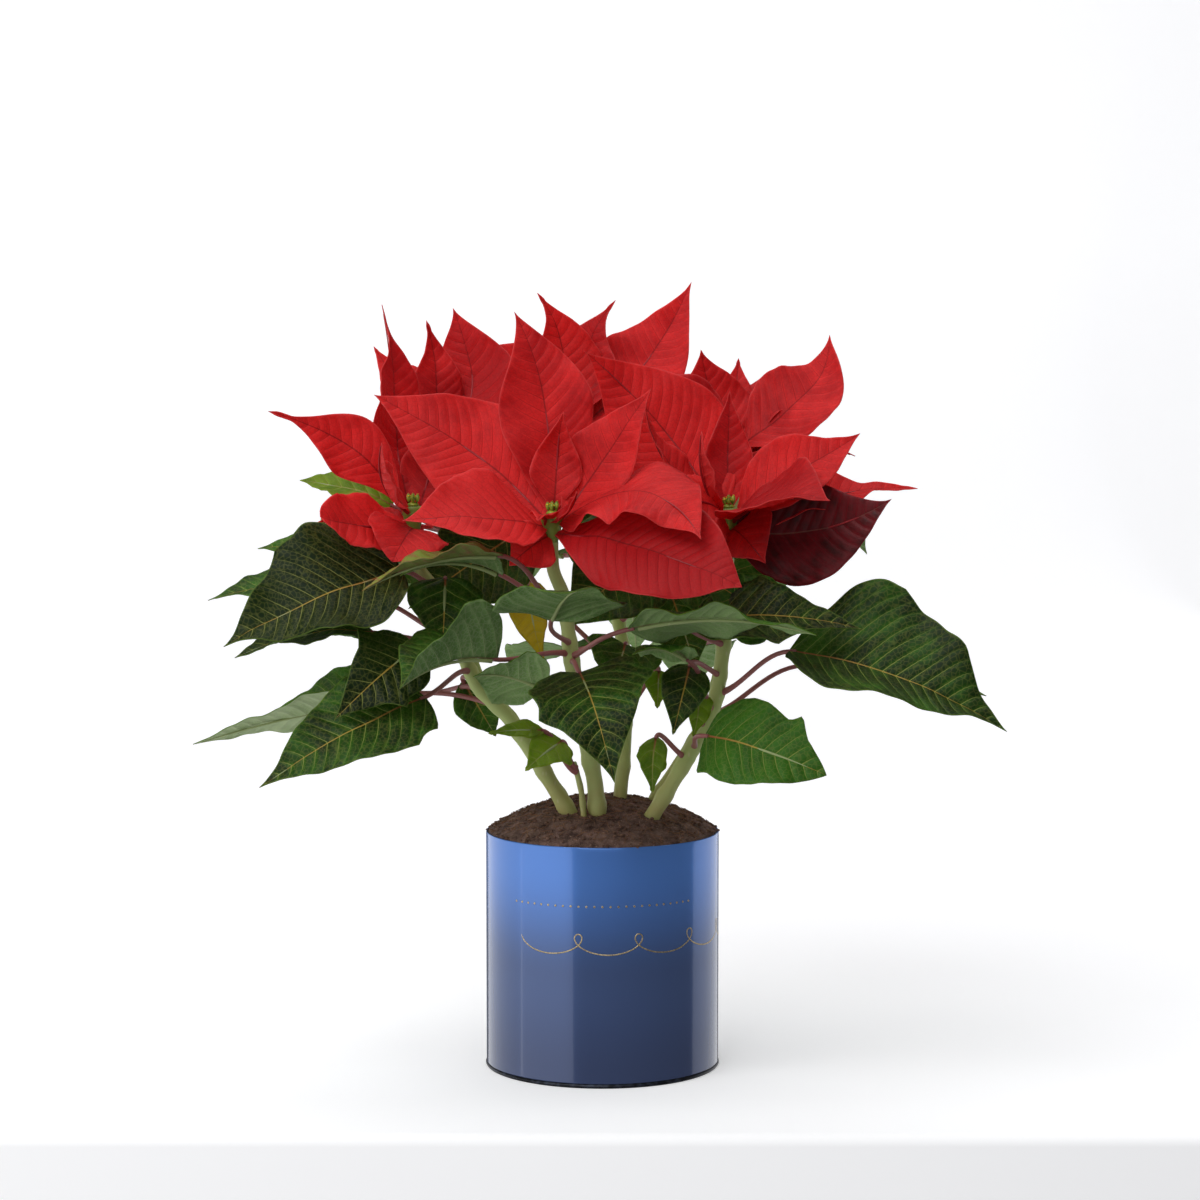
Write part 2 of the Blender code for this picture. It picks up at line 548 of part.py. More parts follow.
def build_soil():
    """The root ball: fills the tin, with a heaped crumbly top and a plain hole for each stem."""
    inner = POT_RADIUS - POT_WALL - GAP
    floor = POT_WALL + GAP
    profile = [(0, floor), (inner, floor), (inner, POT_HEIGHT * 0.5)]
    for k in range(SOIL_RINGS + 1):
        profile.append((inner * (1 - k / SOIL_RINGS), POT_HEIGHT))
    bm = spun(profile, SOIL_SIDES)
    for vert in bm.verts:
        if vert.co.z > POT_HEIGHT - 0.01:
            vert.co.z = POT_HEIGHT + mound(vert.co.x, vert.co.y, inner)
    thing = mesh_object("soil", bm)
    for name, stem in STEMS.items():
        line = stem_line(name)
        line[0] -= (line[1] - line[0]).normalized() * HOLE_PLAY
        wide = [radius + HOLE_PLAY for radius in stem["radii"]]
        cutter = mesh_object("cutter", tube(line, wide, STEM_SIDES))
        cut = thing.modifiers.new("hole", "BOOLEAN")
        cut.operation = "DIFFERENCE"
        cut.object = cutter
        cut.solver = "MANIFOLD"
        apply_modifiers(thing)
        bpy.data.objects.remove(cutter)
    tidy_body(thing)
    finish_node(thing, "soil", new_material("peat", (0.035, 0.018, 0.01), 0.95))


def build_stems(first_order):
    """Each stem with its leaves and their stalks, fused in one body."""
    green = new_material("leaf_green", (0.03, 0.13, 0.025), 0.5)
    order = first_order
    for name, stem in STEMS.items():
        parts = []
        for entry in LEAVES[name]:
            blade = set_blade(entry, order, LEAF_SHAPE)
            order += 1
            line = petiole_line(blade, stem_place(name, entry["at"]))
            parts.append(blade_mesh(blade))
            parts.append(tube(line, (PETIOLE_RADIUS, PETIOLE_RADIUS * PETIOLE_TAPER), PETIOLE_SIDES))
        body = join(tube(stem_line(name), stem["radii"], STEM_SIDES), parts)
        finish_node(body, "leafy_stem_" + name, green)


def build_blooms():
    """Each bloom's hub with its bracts, fused in one body. Returns how many bracts there are."""
    red = new_material("bract_red", (0.62, 0.012, 0.018), 0.5)
    order = 0
    for name, hub in HUBS.items():
        parts = []
        for entry in BRACTS[name]:
            parts.append(blade_mesh(bract_blade(name, entry, order)))
            order += 1
        core = bmesh.new()
        middle = Vector(hub) - Vector((0, 0, HUB_HEIGHT / 2))
        bmesh.ops.create_cone(core, cap_ends=True, segments=HUB_SIDES, radius1=HUB_FOOT_RADIUS,
                              radius2=HUB_TOP_RADIUS, depth=HUB_HEIGHT,
                              matrix=Matrix.Translation(middle))
        finish_node(join(core, parts), "bloom_" + name, red)
    return order


def build_flowers():
    """On each hub the cluster of true flowers: a round cushion and the buds that stand on it."""
    green = new_material("cyathium_green", (0.25, 0.34, 0.06), 0.5)
    for order, (name, hub) in enumerate(HUBS.items()):
        draw = random.Random(order)
        foot = Vector(hub) + Vector((0, 0, GAP))
        cushion = bmesh.new()
        bmesh.ops.create_cone(cushion, cap_ends=True, segments=HUB_SIDES, radius1=CYATHIA_RADIUS,
                              radius2=CYATHIA_RADIUS * 0.7, depth=CUSHION_HEIGHT,
                              matrix=Matrix.Translation(foot + Vector((0, 0, CUSHION_HEIGHT / 2))))
        buds = [bud_mesh(foot, 0.0, 0.0, draw)]
        for k in range(OUTER_BUDS):
            angle = 2 * math.pi * k / OUTER_BUDS + draw.uniform(-0.1, 0.1)
            buds.append(bud_mesh(foot, angle, CYATHIA_RADIUS * 0.62, draw))
        finish_node(join(cushion, buds), "cyathia_" + name, green)


def bud_mesh(foot, angle, away, draw):
    """One bud: an egg that leans out from the middle."""
    outward = Vector((math.cos(angle), math.sin(angle), 0))
    lean = BUD_LEAN if away else 0.0
    tall = BUD_HEIGHT * draw.uniform(0.8, 1.15)
    turn = (outward * lean + Vector((0, 0, 1))).to_track_quat("Z", "Y").to_matrix().to_4x4()
    place = Matrix.Translation(foot + outward * away + Vector((0, 0, CUSHION_HEIGHT * 0.8)))
    shape = Matrix.Translation((0, 0, tall * 0.42)) @ Matrix.Diagonal((BUD_RADIUS, BUD_RADIUS, tall / 2, 1))
    bud = bmesh.new()
    bmesh.ops.create_uvsphere(bud, u_segments=5, v_segments=3, radius=1.0)
    bmesh.ops.transform(bud, matrix=place @ turn @ shape, verts=bud.verts)
    return bud


def main():
    for thing in list(bpy.data.objects):
        bpy.data.objects.remove(thing)
    build_pot()
    build_soil()
    bracts = build_blooms()
    build_stems(bracts)
    build_flowers()


main()
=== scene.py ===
import functools
import math
import random

import bmesh
import bpy
from mathutils import Matrix, Vector, noise


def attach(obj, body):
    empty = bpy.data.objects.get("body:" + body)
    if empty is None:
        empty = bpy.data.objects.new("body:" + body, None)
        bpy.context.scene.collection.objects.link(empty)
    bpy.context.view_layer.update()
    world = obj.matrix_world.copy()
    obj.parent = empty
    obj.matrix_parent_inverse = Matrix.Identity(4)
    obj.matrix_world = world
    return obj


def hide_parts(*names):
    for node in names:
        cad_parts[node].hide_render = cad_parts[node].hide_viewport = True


# Potted poinsettia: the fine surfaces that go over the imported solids. The front looks along -Y.
# Sizes are in millimetres, and the mesh of a finished piece is turned to metres.

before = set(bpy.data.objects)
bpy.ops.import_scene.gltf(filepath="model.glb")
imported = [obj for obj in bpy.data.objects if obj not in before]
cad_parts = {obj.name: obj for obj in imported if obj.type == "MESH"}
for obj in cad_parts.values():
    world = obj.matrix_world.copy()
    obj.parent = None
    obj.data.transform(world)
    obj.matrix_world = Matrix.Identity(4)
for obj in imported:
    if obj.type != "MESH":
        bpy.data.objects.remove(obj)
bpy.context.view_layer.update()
mm = 0.001
print("frame loaded:", len(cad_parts), "solids")


def linearColour(hexCode):  # sRGB hex to linear, with full alpha
    parts = [int(hexCode[k:k + 2], 16) / 255 for k in (1, 3, 5)]
    return [c / 12.92 if c <= 0.04045 else ((c + 0.055) / 1.055) ** 2.4 for c in parts] + [1.0]


def addNode(tree, kind, inputs=None, **settings):
    # an input is a number, a hex colour, a socket, or a node, which gives its first output in use
    made = tree.nodes.new("ShaderNode" + kind)
    for name, value in settings.items():
        setattr(made, name, value)
    for key, value in (inputs or {}).items():
        if isinstance(value, bpy.types.Node):
            value = next(socket for socket in value.outputs if socket.enabled)
        if isinstance(value, bpy.types.NodeSocket):
            tree.links.new(value, made.inputs[key])
        else:
            made.inputs[key].default_value = linearColour(value) if isinstance(value, str) else value
    return made


def newMaterial(name):  # an empty material, and what adds a node to it
    material = bpy.data.materials.new(name)
    material.use_nodes = True
    material.node_tree.nodes.clear()
    return material, functools.partial(addNode, material.node_tree)


def objectFrom(bm, *materials):
    mesh = bpy.data.meshes.new("mesh")
    bm.to_mesh(mesh)
    bm.free()
    return linked(bpy.data.objects.new("piece", mesh), materials)


def linked(thing, materials):
    bpy.context.scene.collection.objects.link(thing)
    for material in materials:
        thing.data.materials.append(material)
    return thing


def applied(thing):  # a curve or a piece with modifiers becomes a plain mesh
    bpy.context.view_layer.update()
    graph = bpy.context.evaluated_depsgraph_get()
    mesh = bpy.data.meshes.new_from_object(thing.evaluated_get(graph))
    made = bpy.data.objects.new("piece", mesh)
    bpy.context.scene.collection.objects.link(made)
    bpy.data.objects.remove(thing)
    return made


def finishPiece(thing, name, slot, *nodes):
    thing.name = name
    thing.data.name = name
    thing.data.transform(Matrix.Scale(mm, 4))
    thing.data.shade_smooth()
    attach(thing, "root")
    if nodes:
        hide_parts(*nodes)
    return thing


# Stem: points of its middle line from the root upwards, and its radius at the root and at the top
rootLevel = 92.0
stems = {
    "left": dict(radii=(4.5, 3.0), path=[(-13, -24, rootLevel), (-14, -25, 134), (-34, -31, 168),
                 (-50, -34, 193), (-65, -34, 207), (-74, -34, 226), (-90, -34, 262)]),
    "centre": dict(radii=(4.9, 3.2), path=[(-2, -31, rootLevel), (-2, -31, 134), (-4, -31, 158),
                   (-11, -36, 190), (-16, -42, 222), (-20, -50, 258)]),
    "shoot": dict(radii=(1.9, 1.3), path=[(-9.4, -34, rootLevel), (-9.4, -34, 134), (-11, -38, 154),
                  (-15, -42, 169)]),
    "back": dict(radii=(4.1, 3.0), path=[(8, 4, rootLevel), (9, 5, 138), (12, 12, 170), (13, 26, 210),
                 (6, 50, 256), (-12, 74, 304)]),
    "right": dict(radii=(4.4, 3.0), path=[(21, -27, rootLevel), (23, -28, 133), (40, -31, 162),
                  (52, -32, 183), (60, -33, 201), (64, -34, 230), (65, -34, 264)]),
    "back_left": dict(radii=(3.8, 2.9), path=[(-15, 1, rootLevel), (-16, 2, 134), (-35, 10, 164),
                      (-51, 14, 188), (-66, 18, 204), (-75, 22, 228), (-81, 27, 292)]),
    "back_right": dict(radii=(3.8, 2.9), path=[(19, 12, rootLevel), (21, 13, 130), (40, 16, 158),
                       (53, 18, 178), (61, 20, 196), (66, 24, 228), (70, 36, 290)]),
}

# Bloom: the middle of the hub's top
hubs = {
    "left": (-99, -34, 303),
    "centre": (-26, -56, 300),
    "right": (66, -34, 302),
    "back_left": (-84, 30, 338),
    "back": (-16, 78, 344),
    "back_right": (73, 40, 336),
}

# Leaf: at is the height on the stem that its stalk leaves, face is where its upper side looks, arch and
# bend bow the midrib up and sideways, hook and sway turn its tip up and sideways, curl and fold raise its
# edges, and tone, from 0 to 1 or a little past, is how light it is: drawn at random where not given, and
# where given, painted shade that darkens blades in shadow and painted light that brightens a lit one. One
# without a face stands at the back and has a coarser grid. Young, yellow and fresh choose another skin;
# sunlit chooses a paler skin of painted light, and the shaded kind a near-black skin of painted shade.


def leaf(at, base, tip, width, face=None, arch=8, **more):
    return dict(at=at, base=base, tip=tip, width=width, face=face, arch=arch, **more)


def bract(root, level, tip, width, face=None, arch=8, **more):
    return dict(root=root, level=level, tip=tip, width=width, face=face, arch=arch, **more)


leaves = {
    "left": [
        # painted shade: a low tone darkens this leaf, which stands in the shadow of the bracts above
        leaf(262, (-104, -48, 270), (-193, -85, 234), 74, (0, -.7, .7), 6, fold=.2, wave=4, tone=-.5,
             lobes=((1, .54, 5), (-1, .54, 4))),
        leaf(250, (-112, -22, 265), (-183, -10, 279), 46, (0, -.5, .87)),
        leaf(232, (-117, -16, 252), (-206, -40, 254), 60, (0, -.25, 1), 8, lobes=((1, .54, 7), (-1, .54, 7))),
        leaf(228, (-119, -40, 237), (-190, -62, 226), 62, (.1, -.2, 1), 6, tone=-.2),
        leaf(216, (-91, -75, 207), (-173, -108, 165), 54, (-.2, -.8, .6), 8, bend=-2, tone=.3,
             lobes=((-1, .1, 9), (-1, .23, 4))),
        leaf(198, (-100, -14, 202), (-216, -30, 177), 44, (0, .55, .9), 3, curl=-.2, sunlit=1),
        leaf(206, (-98, 8, 200), (-177, 20, 189), 46, (0, -.45, .9), 7),
        leaf(238, (-96, -66, 232), (-136, -98, 198), 40, (.3, -.8, .5), 8, tone=-.2,
             lobes=((-1, .54, 6), (1, .38, 6))),
        leaf(250, (-82, -42, 266), (-83, -60, 228), 40, (.1, -1, .2), 5),
        leaf(210, (-74, -16, 209), (-57, -4, 178), 25, (0, -1, .2), 4),
    ],
    "centre": [
        leaf(226, (-54, -80, 227), (-101, -124, 217), 56, (.1, .5, .87), 6, fold=.7, wave=2),
        leaf(232, (-26, -92, 248), (-12, -150, 268), 70, (0, .2, 1), 4, curl=-.2, fold=.1, wave=3, waves=1.5),
        leaf(222, (-12, -78, 220), (6, -128, 170), 60, (0, -.9, .45), 17, tone=.2,
             lobes=((-1, .38, 5), (1, .54, 5))),
        leaf(225, (13, -96, 244), (107, -118, 243), 50, (.1, .36, .92), 7, curl=-.3, wave=3),
        leaf(246, (-51, -78, 280), (-121, -104, 264), 30, (.1, .1, 1), 6, curl=.6, wave=2, young=1),
        leaf(250, (-52, -52, 268), (-104, -70, 269), 44, (0, .1, 1), 7),
        leaf(214, (-30, -66, 210), (-66, -88, 219), 44, (0, .75, .65), 5, curl=-.3),
    ],
    "shoot": [
        leaf(166, (-21, -48, 181), (-40, -68, 168), 24, (-.2, -1, .3), 3, lobes=((1, .38, 5), (-1, .38, 5)),
             fresh=1),
        leaf(164, (-31, -52, 187), (-59, -64, 187), 12, (0, -.8, .7), 2, fresh=1),
    ],
    "back": [
        leaf(206, (12, -10, 228), (5, -32, 206), 42, (.1, -1, .3), 4),
        leaf(190, (30, -12, 214), (29, -22, 195), 15, (0, -1, .2), 2, fresh=1),
        leaf(214, (-40, 12, 258), (-31, -28, 220), 24, (-.3, -1, .2), 4, wave=2, yellow=1),
        leaf(250, (24, 6, 277), (-20, -22, 238), 58, (0, -1, .25), 4),
        leaf(284, (-40, 10, 290), (-104, 0, 246), 58, (0, -1, .2), 5),
        leaf(278, (2, 22, 300), (8, 0, 246), 54, (0, -1, .2), 4),
        leaf(262, (44, 8, 280), (98, 2, 242), 56, (0, -1, .2), 5),
        leaf(236, (34, 4, 260), (50, -12, 214), 46, (.1, -1, .2), 4),
        leaf(292, (20, 96, 280), (44, 152, 242), 62, arch=9),
        leaf(276, (-20, 92, 268), (-58, 150, 238), 66, arch=10),
        leaf(246, (14, 84, 240), (20, 160, 206), 64, arch=10),
        leaf(222, (-16, 62, 218), (-50, 118, 190), 50, arch=8),
    ],
    "right": [
        leaf(204, (97, -55, 229), (206, -88, 191), 82, (.15, -.65, .75), 9, fold=.4, wave=3, tone=.25,
             lobes=((-1, .38, 3), (-1, .7, 3))),
        leaf(192, (104, -14, 217), (206, 2, 199), 54, (.1, -.5, .85), 7),
        # painted light: a high tone makes this leaf lighter, as if lit
        leaf(176, (53, -74, 187), (113, -106, 171), 48, (.2, -.95, .3), 8, taper=.9, tone=.9,
             lobes=((-1, .7, 7), (1, .1, 7))),
        leaf(240, (90, -50, 240), (49, -59, 270), 38, (.25, -.95, .2), 5),
        leaf(230, (46, -62, 244), (133, -76, 242), 42, (.1, -.7, .75), 8, lobes=((1, .54, 5), (-1, .38, 4))),
        leaf(214, (45, -62, 222), (36, -78, 188), 26, (0, -1, .2), 6),
        leaf(196, (44, -73, 226), (15, -95, 231), 42, (.3, .4, .85), 5, curl=-.3),
        leaf(186, (50, -48, 208), (47, -52, 184), 15, (.4, -1, .1), 3, fresh=1),
        leaf(170, (28, -48, 183), (26, -56, 155), 16, (-.3, -1, .1), 2, lobes=((1, .38, 2), (-1, .54, 2)),
             fresh=1),
    ],
    "back_left": [
        leaf(286, (-113, 18, 300), (-163, 18, 314), 44, (0, -.5, .87), 3, fresh=1),
        leaf(284, (-112, 44, 290), (-150, 84, 262), 62, arch=9),
        leaf(262, (-96, 62, 262), (-136, 122, 236), 62, arch=10),
        leaf(250, (-88, 30, 252), (-164, 52, 240), 56, arch=9),
    ],
    "back_right": [
        leaf(290, (98, 62, 292), (150, 106, 268), 62, arch=9),
        leaf(268, (76, 76, 262), (96, 136, 232), 60, arch=10),
        leaf(246, (96, 52, 236), (168, 78, 208), 58, arch=9),
        leaf(224, (52, 74, 218), (50, 130, 184), 50, arch=9),
    ],
}

# Bract: root is the side of the hub that it grows from, in degrees from +X towards +Y, level how
# far below the hub's top
bracts = {
    "centre": [
        bract(186, 7, (-101, -95, 299), 62, (0, -.62, .78), 4, curl=.35, foot=.9),
        # painted shade: a low tone darkens this bract, whose face is turned down into the shadow of the bract
        # above
        bract(300, 10, (69, -128, 268), 66, (-.2, -.7, .7), 9, curl=.1, wave=2, peak=.6, foot=1.1, taper=1.1,
              tone=-.6),
        bract(90, 4, (-42, -36, 405), 50, (.05, -1, .1), -3, peak=.54, bend=5, sway=-4),
        bract(340, 4, (49, -122, 291), 54, (.1, -.6, .8), 12, curl=-.2, wave=4, bend=-18, foot=.45, peak=.5),
        bract(80, 3.5, (-22, -59, 353), 28, (0, -1, .1), -6, curl=.4, foot=1.8, sway=2),
        bract(30, 4, (25, -58, 365), 40, (-.4, -.9, .2), -3, curl=.25, foot=1.4),
        bract(130, 5, (-122, -29, 358), 60, (.2, -.95, .2), -6, curl=.2, bend=10, foot=1, taper=1.3, sway=4),
        bract(250, 4, (-13, -80, 313), 13, (-1, 0, .3), -3, curl=.5),
        bract(215, 4, (-33, -82, 298), 15, (0, -.5, .8), 4, curl=.3),
        bract(225, 11, (-48, -66, 274), 30, (-.1, -1, .2), 5),
    ],
    "left": [
        bract(195, 6, (-175, -56, 349), 34, (.1, -1, .1), -4, curl=.3, bend=14, twist=15, taper=3, foot=1.8,
              peak=.5, sway=5),
        bract(225, 9, (-144, -76, 300), 38, (-.1, -.85, .5), -5, taper=.6, peak=.5),
        bract(255, 3, (-112, -80, 338), 28, (.8, .1, .3), -7, curl=.6),
        bract(290, 12, (-108, -66, 276), 44, (0, -1, .3), 6, curl=.1, taper=.8),
        bract(110, 5, (-110, 12, 407), 46, (.55, -.8, .2), -10, curl=.5, twist=50, wave=3, taper=1.9,
              sway=-9),
        bract(170, 11, (-156, -14, 290), 36, (-.1, -.2, 1), 6),
        bract(125, 12, (-116, 40, 278), 36, arch=2),
        bract(60, 6, (-82, 0, 356), 32, (0, -1, .2), -6),
    ],
    "right": [
        # painted shade: tone 0 darkens this bract on the shaded right side
        bract(300, 6, (115, -93, 309), 64, (.15, -.6, .75), 6, curl=.4, tone=0),
        bract(130, 7, (-10, -22, 384), 66, (.1, -1, .15), -12, curl=-.15, bend=8),
        bract(10, 3, (137, -34, 337), 44, (-.2, -.75, .65), 5, curl=.4, twist=20, sway=-6),
        bract(15, 9, (167, -10, 311), 38, (.1, -.5, .9), 7, curl=.3, wave=3, taper=1.8),
        bract(90, 3, (67, -20, 363), 26, (.1, -1, .1), -5, curl=.4),
        bract(230, 3, (51, -60, 343), 19, (.8, .3, .5), -6, curl=.4),
        bract(180, 4, (22, -42, 354), 26, (.5, -.4, .7), -8, curl=.4),
        bract(200, 6, (35, -64, 306), 46, (-.3, -.8, .5), 8, curl=-.4, foot=.6),
        bract(275, 12, (84, -66, 275), 40, (.1, -1, .3), 7),
        # painted shade: this bract takes the near-black skin for the dark hollow at the front right
        bract(325, 11, (149, -58, 308), 58, (.1, -.95, .3), -4, curl=.1, bend=8, foot=.7, dusk=1),
    ],
    "back_left": [
        bract(80, 4, (-88, 62, 406), 54, (-.2, -1, .1), -8, curl=.25, bend=13, sway=6),
        bract(120, 4, (-91, 42, 400), 30, (.4, -.9, .2), -6, curl=.3, sway=-5, taper=1.8),
        bract(150, 6, (-127, 57, 382), 34, (.3, -.7, .6), 6, hook=6),
        bract(200, 8, (-122, 26, 340), 42, arch=7),
        bract(130, 9, (-122, 88, 346), 48, arch=8),
        bract(100, 8, (-112, 112, 357), 50, arch=9),
        bract(70, 12, (-80, 114, 318), 42, arch=9),
        bract(155, 13, (-138, 56, 312), 44, arch=7),
    ],
    "back": [
        bract(135, 4, (-29, 88, 416), 46, (.4, -.9, .1), -6, curl=.3, bend=5, taper=1.9, sway=-8),
        bract(80, 4, (0, 106, 412), 44, (-.3, -.9, .25), -6, curl=.3, bend=-4, taper=1.9, sway=8),
        bract(150, 6, (-96, 88, 371), 60, (.2, -.9, .3), -4, curl=.2, bend=9),
        bract(60, 5, (51, 134, 422), 58, (-.2, -1, .4), -5, curl=.15, bend=6, peak=.36),
        bract(0, 9, (58, 106, 344), 42, arch=8),
        bract(50, 8, (34, 152, 366), 50, arch=9),
        bract(90, 6, (-14, 160, 388), 46, arch=8, curl=.3),
        bract(130, 9, (-56, 149, 353), 50, arch=9),
        bract(170, 10, (-76, 108, 338), 42, arch=6),
        bract(100, 13, (-4, 168, 330), 46, arch=10),
    ],
    "back_right": [
        bract(60, 5, (132, 64, 385), 52, (-.35, -.8, .5), 5, curl=.25, hook=6, wave=2, bend=9, sway=-8),
        bract(110, 4, (54, 56, 384), 48, (.3, -.9, .1), -8, curl=-.3),
        bract(150, 8, (10, 44, 368), 46, (.1, -.8, .5), 6, foot=1.3),
        bract(20, 8, (104, 104, 354), 44, arch=6),
        bract(50, 6, (122, 112, 372), 50, arch=9),
        bract(85, 9, (76, 136, 339), 46, arch=9),
        bract(5, 13, (138, 44, 326), 44, arch=7),
        bract(60, 13, (120, 108, 318), 42, arch=9),
        bract(90, 5, (76, 86, 379), 30, (.1, -.85, .4), -6, curl=.3),
    ],
}


# Leaf and bract skin: living tissue with a thin waxy cuticle, satin and lit through from behind.
# The veins follow the blade's own attributes: ribs holds the side veins' phase and the mm from the
# midrib and from the edge, lay the mm across and along, tone the share of the length, a draw for the
# blade and the share of the half width.
leafTop = dict(dark="#0b1a06", light="#37671a", vein="#aeb45a", rib="#c2a348", ribFoot="#a85f3c",
               edge="#6f8c34", behind="#8fb81e", veinMix=0.85, netMix=0.17, through=0.2, rough=0.5,
               specular=0.24, cloud=17.0, pillow=0.5, raised=False)
leafUnder = dict(leafTop, dark="#5d7f44", light="#8dab6c", vein="#b5c48c", rib="#bcc48c", ribFoot="#a87868",
                 edge="#8aa36a", netMix=0.35, rough=0.6, raised=True)
freshTop = dict(leafTop, dark="#4a6a16", light="#7d962a", vein="#b5c062", rib="#c0c26a", edge="#9aa83c",
                behind="#b4d020", through=0.35)
freshUnder = dict(leafUnder, dark="#708a3c", light="#93a653", behind="#b4d020", through=0.35)
sunlitTop = dict(leafTop, dark="#2c4f10", light="#4f7a1e")
sunlitUnder = dict(leafUnder, dark="#b4c793", light="#cfddb0", through=0.3)
youngTop = dict(leafTop, dark="#7b8f34", light="#a3524a", vein="#a2924c", rib="#a9894e", edge="#9a5a48",
                behind="#b0762a", cloud=5.5)
youngUnder = dict(leafUnder, dark="#8b9c52", light="#b06f60", vein="#a8a068", rib="#b09a70", cloud=5.5)
yellowTop = dict(leafTop, dark="#8a8012", light="#b5a31e", vein="#c9bf5a", rib="#c9bf5a",
                 ribFoot="#b5a31e", edge="#94802a", behind="#d8c41e", through=0.35)
yellowUnder = dict(yellowTop, dark="#988c34", light="#b8ab40", rough=0.6, raised=True)
bractTop = dict(dark="#b0181d", light="#e63030", vein="#7d060b", rib="#6d060b", ribFoot="#7d060b",
                edge="#ef5a58", behind="#ff2412", veinMix=0.55, netMix=0.16, through=0.36, rough=0.58,
                specular=0.3, cloud=17.0, pillow=0.3, raised=False)
bractUnder = dict(bractTop, dark="#bb2226", light="#dc4040", vein="#981418", rib="#981418", edge="#e86260",
                  rough=0.65, raised=True)
# a near-black red skin, painted shade for a bract that stands in deep shadow
duskTop = dict(bractTop, dark="#120c08", light="#74101a", vein="#52302a", rib="#8a5a4c", ribFoot="#8a5a4c",
               edge="#a01c22", behind="#7a0a0a", through=0.2, rough=0.45, cloud=9.0)
duskUnder = dict(duskTop, dark="#341014", light="#6c1a20", rough=0.6, raised=True)
veinSizes = dict(midrib=0.75, midribSoft=0.35, sideVein=0.05, net=2.4, netLine=0.12, edge=0.8,
                 grain=0.8, sink=0.3, grainRelief=0.05)  # mm, but sideVein in vein spacings
bladeMarks = ("ribs", "lay", "tone")
smooth = dict(interpolation_type="SMOOTHSTEP")
colours = dict(data_type="RGBA")


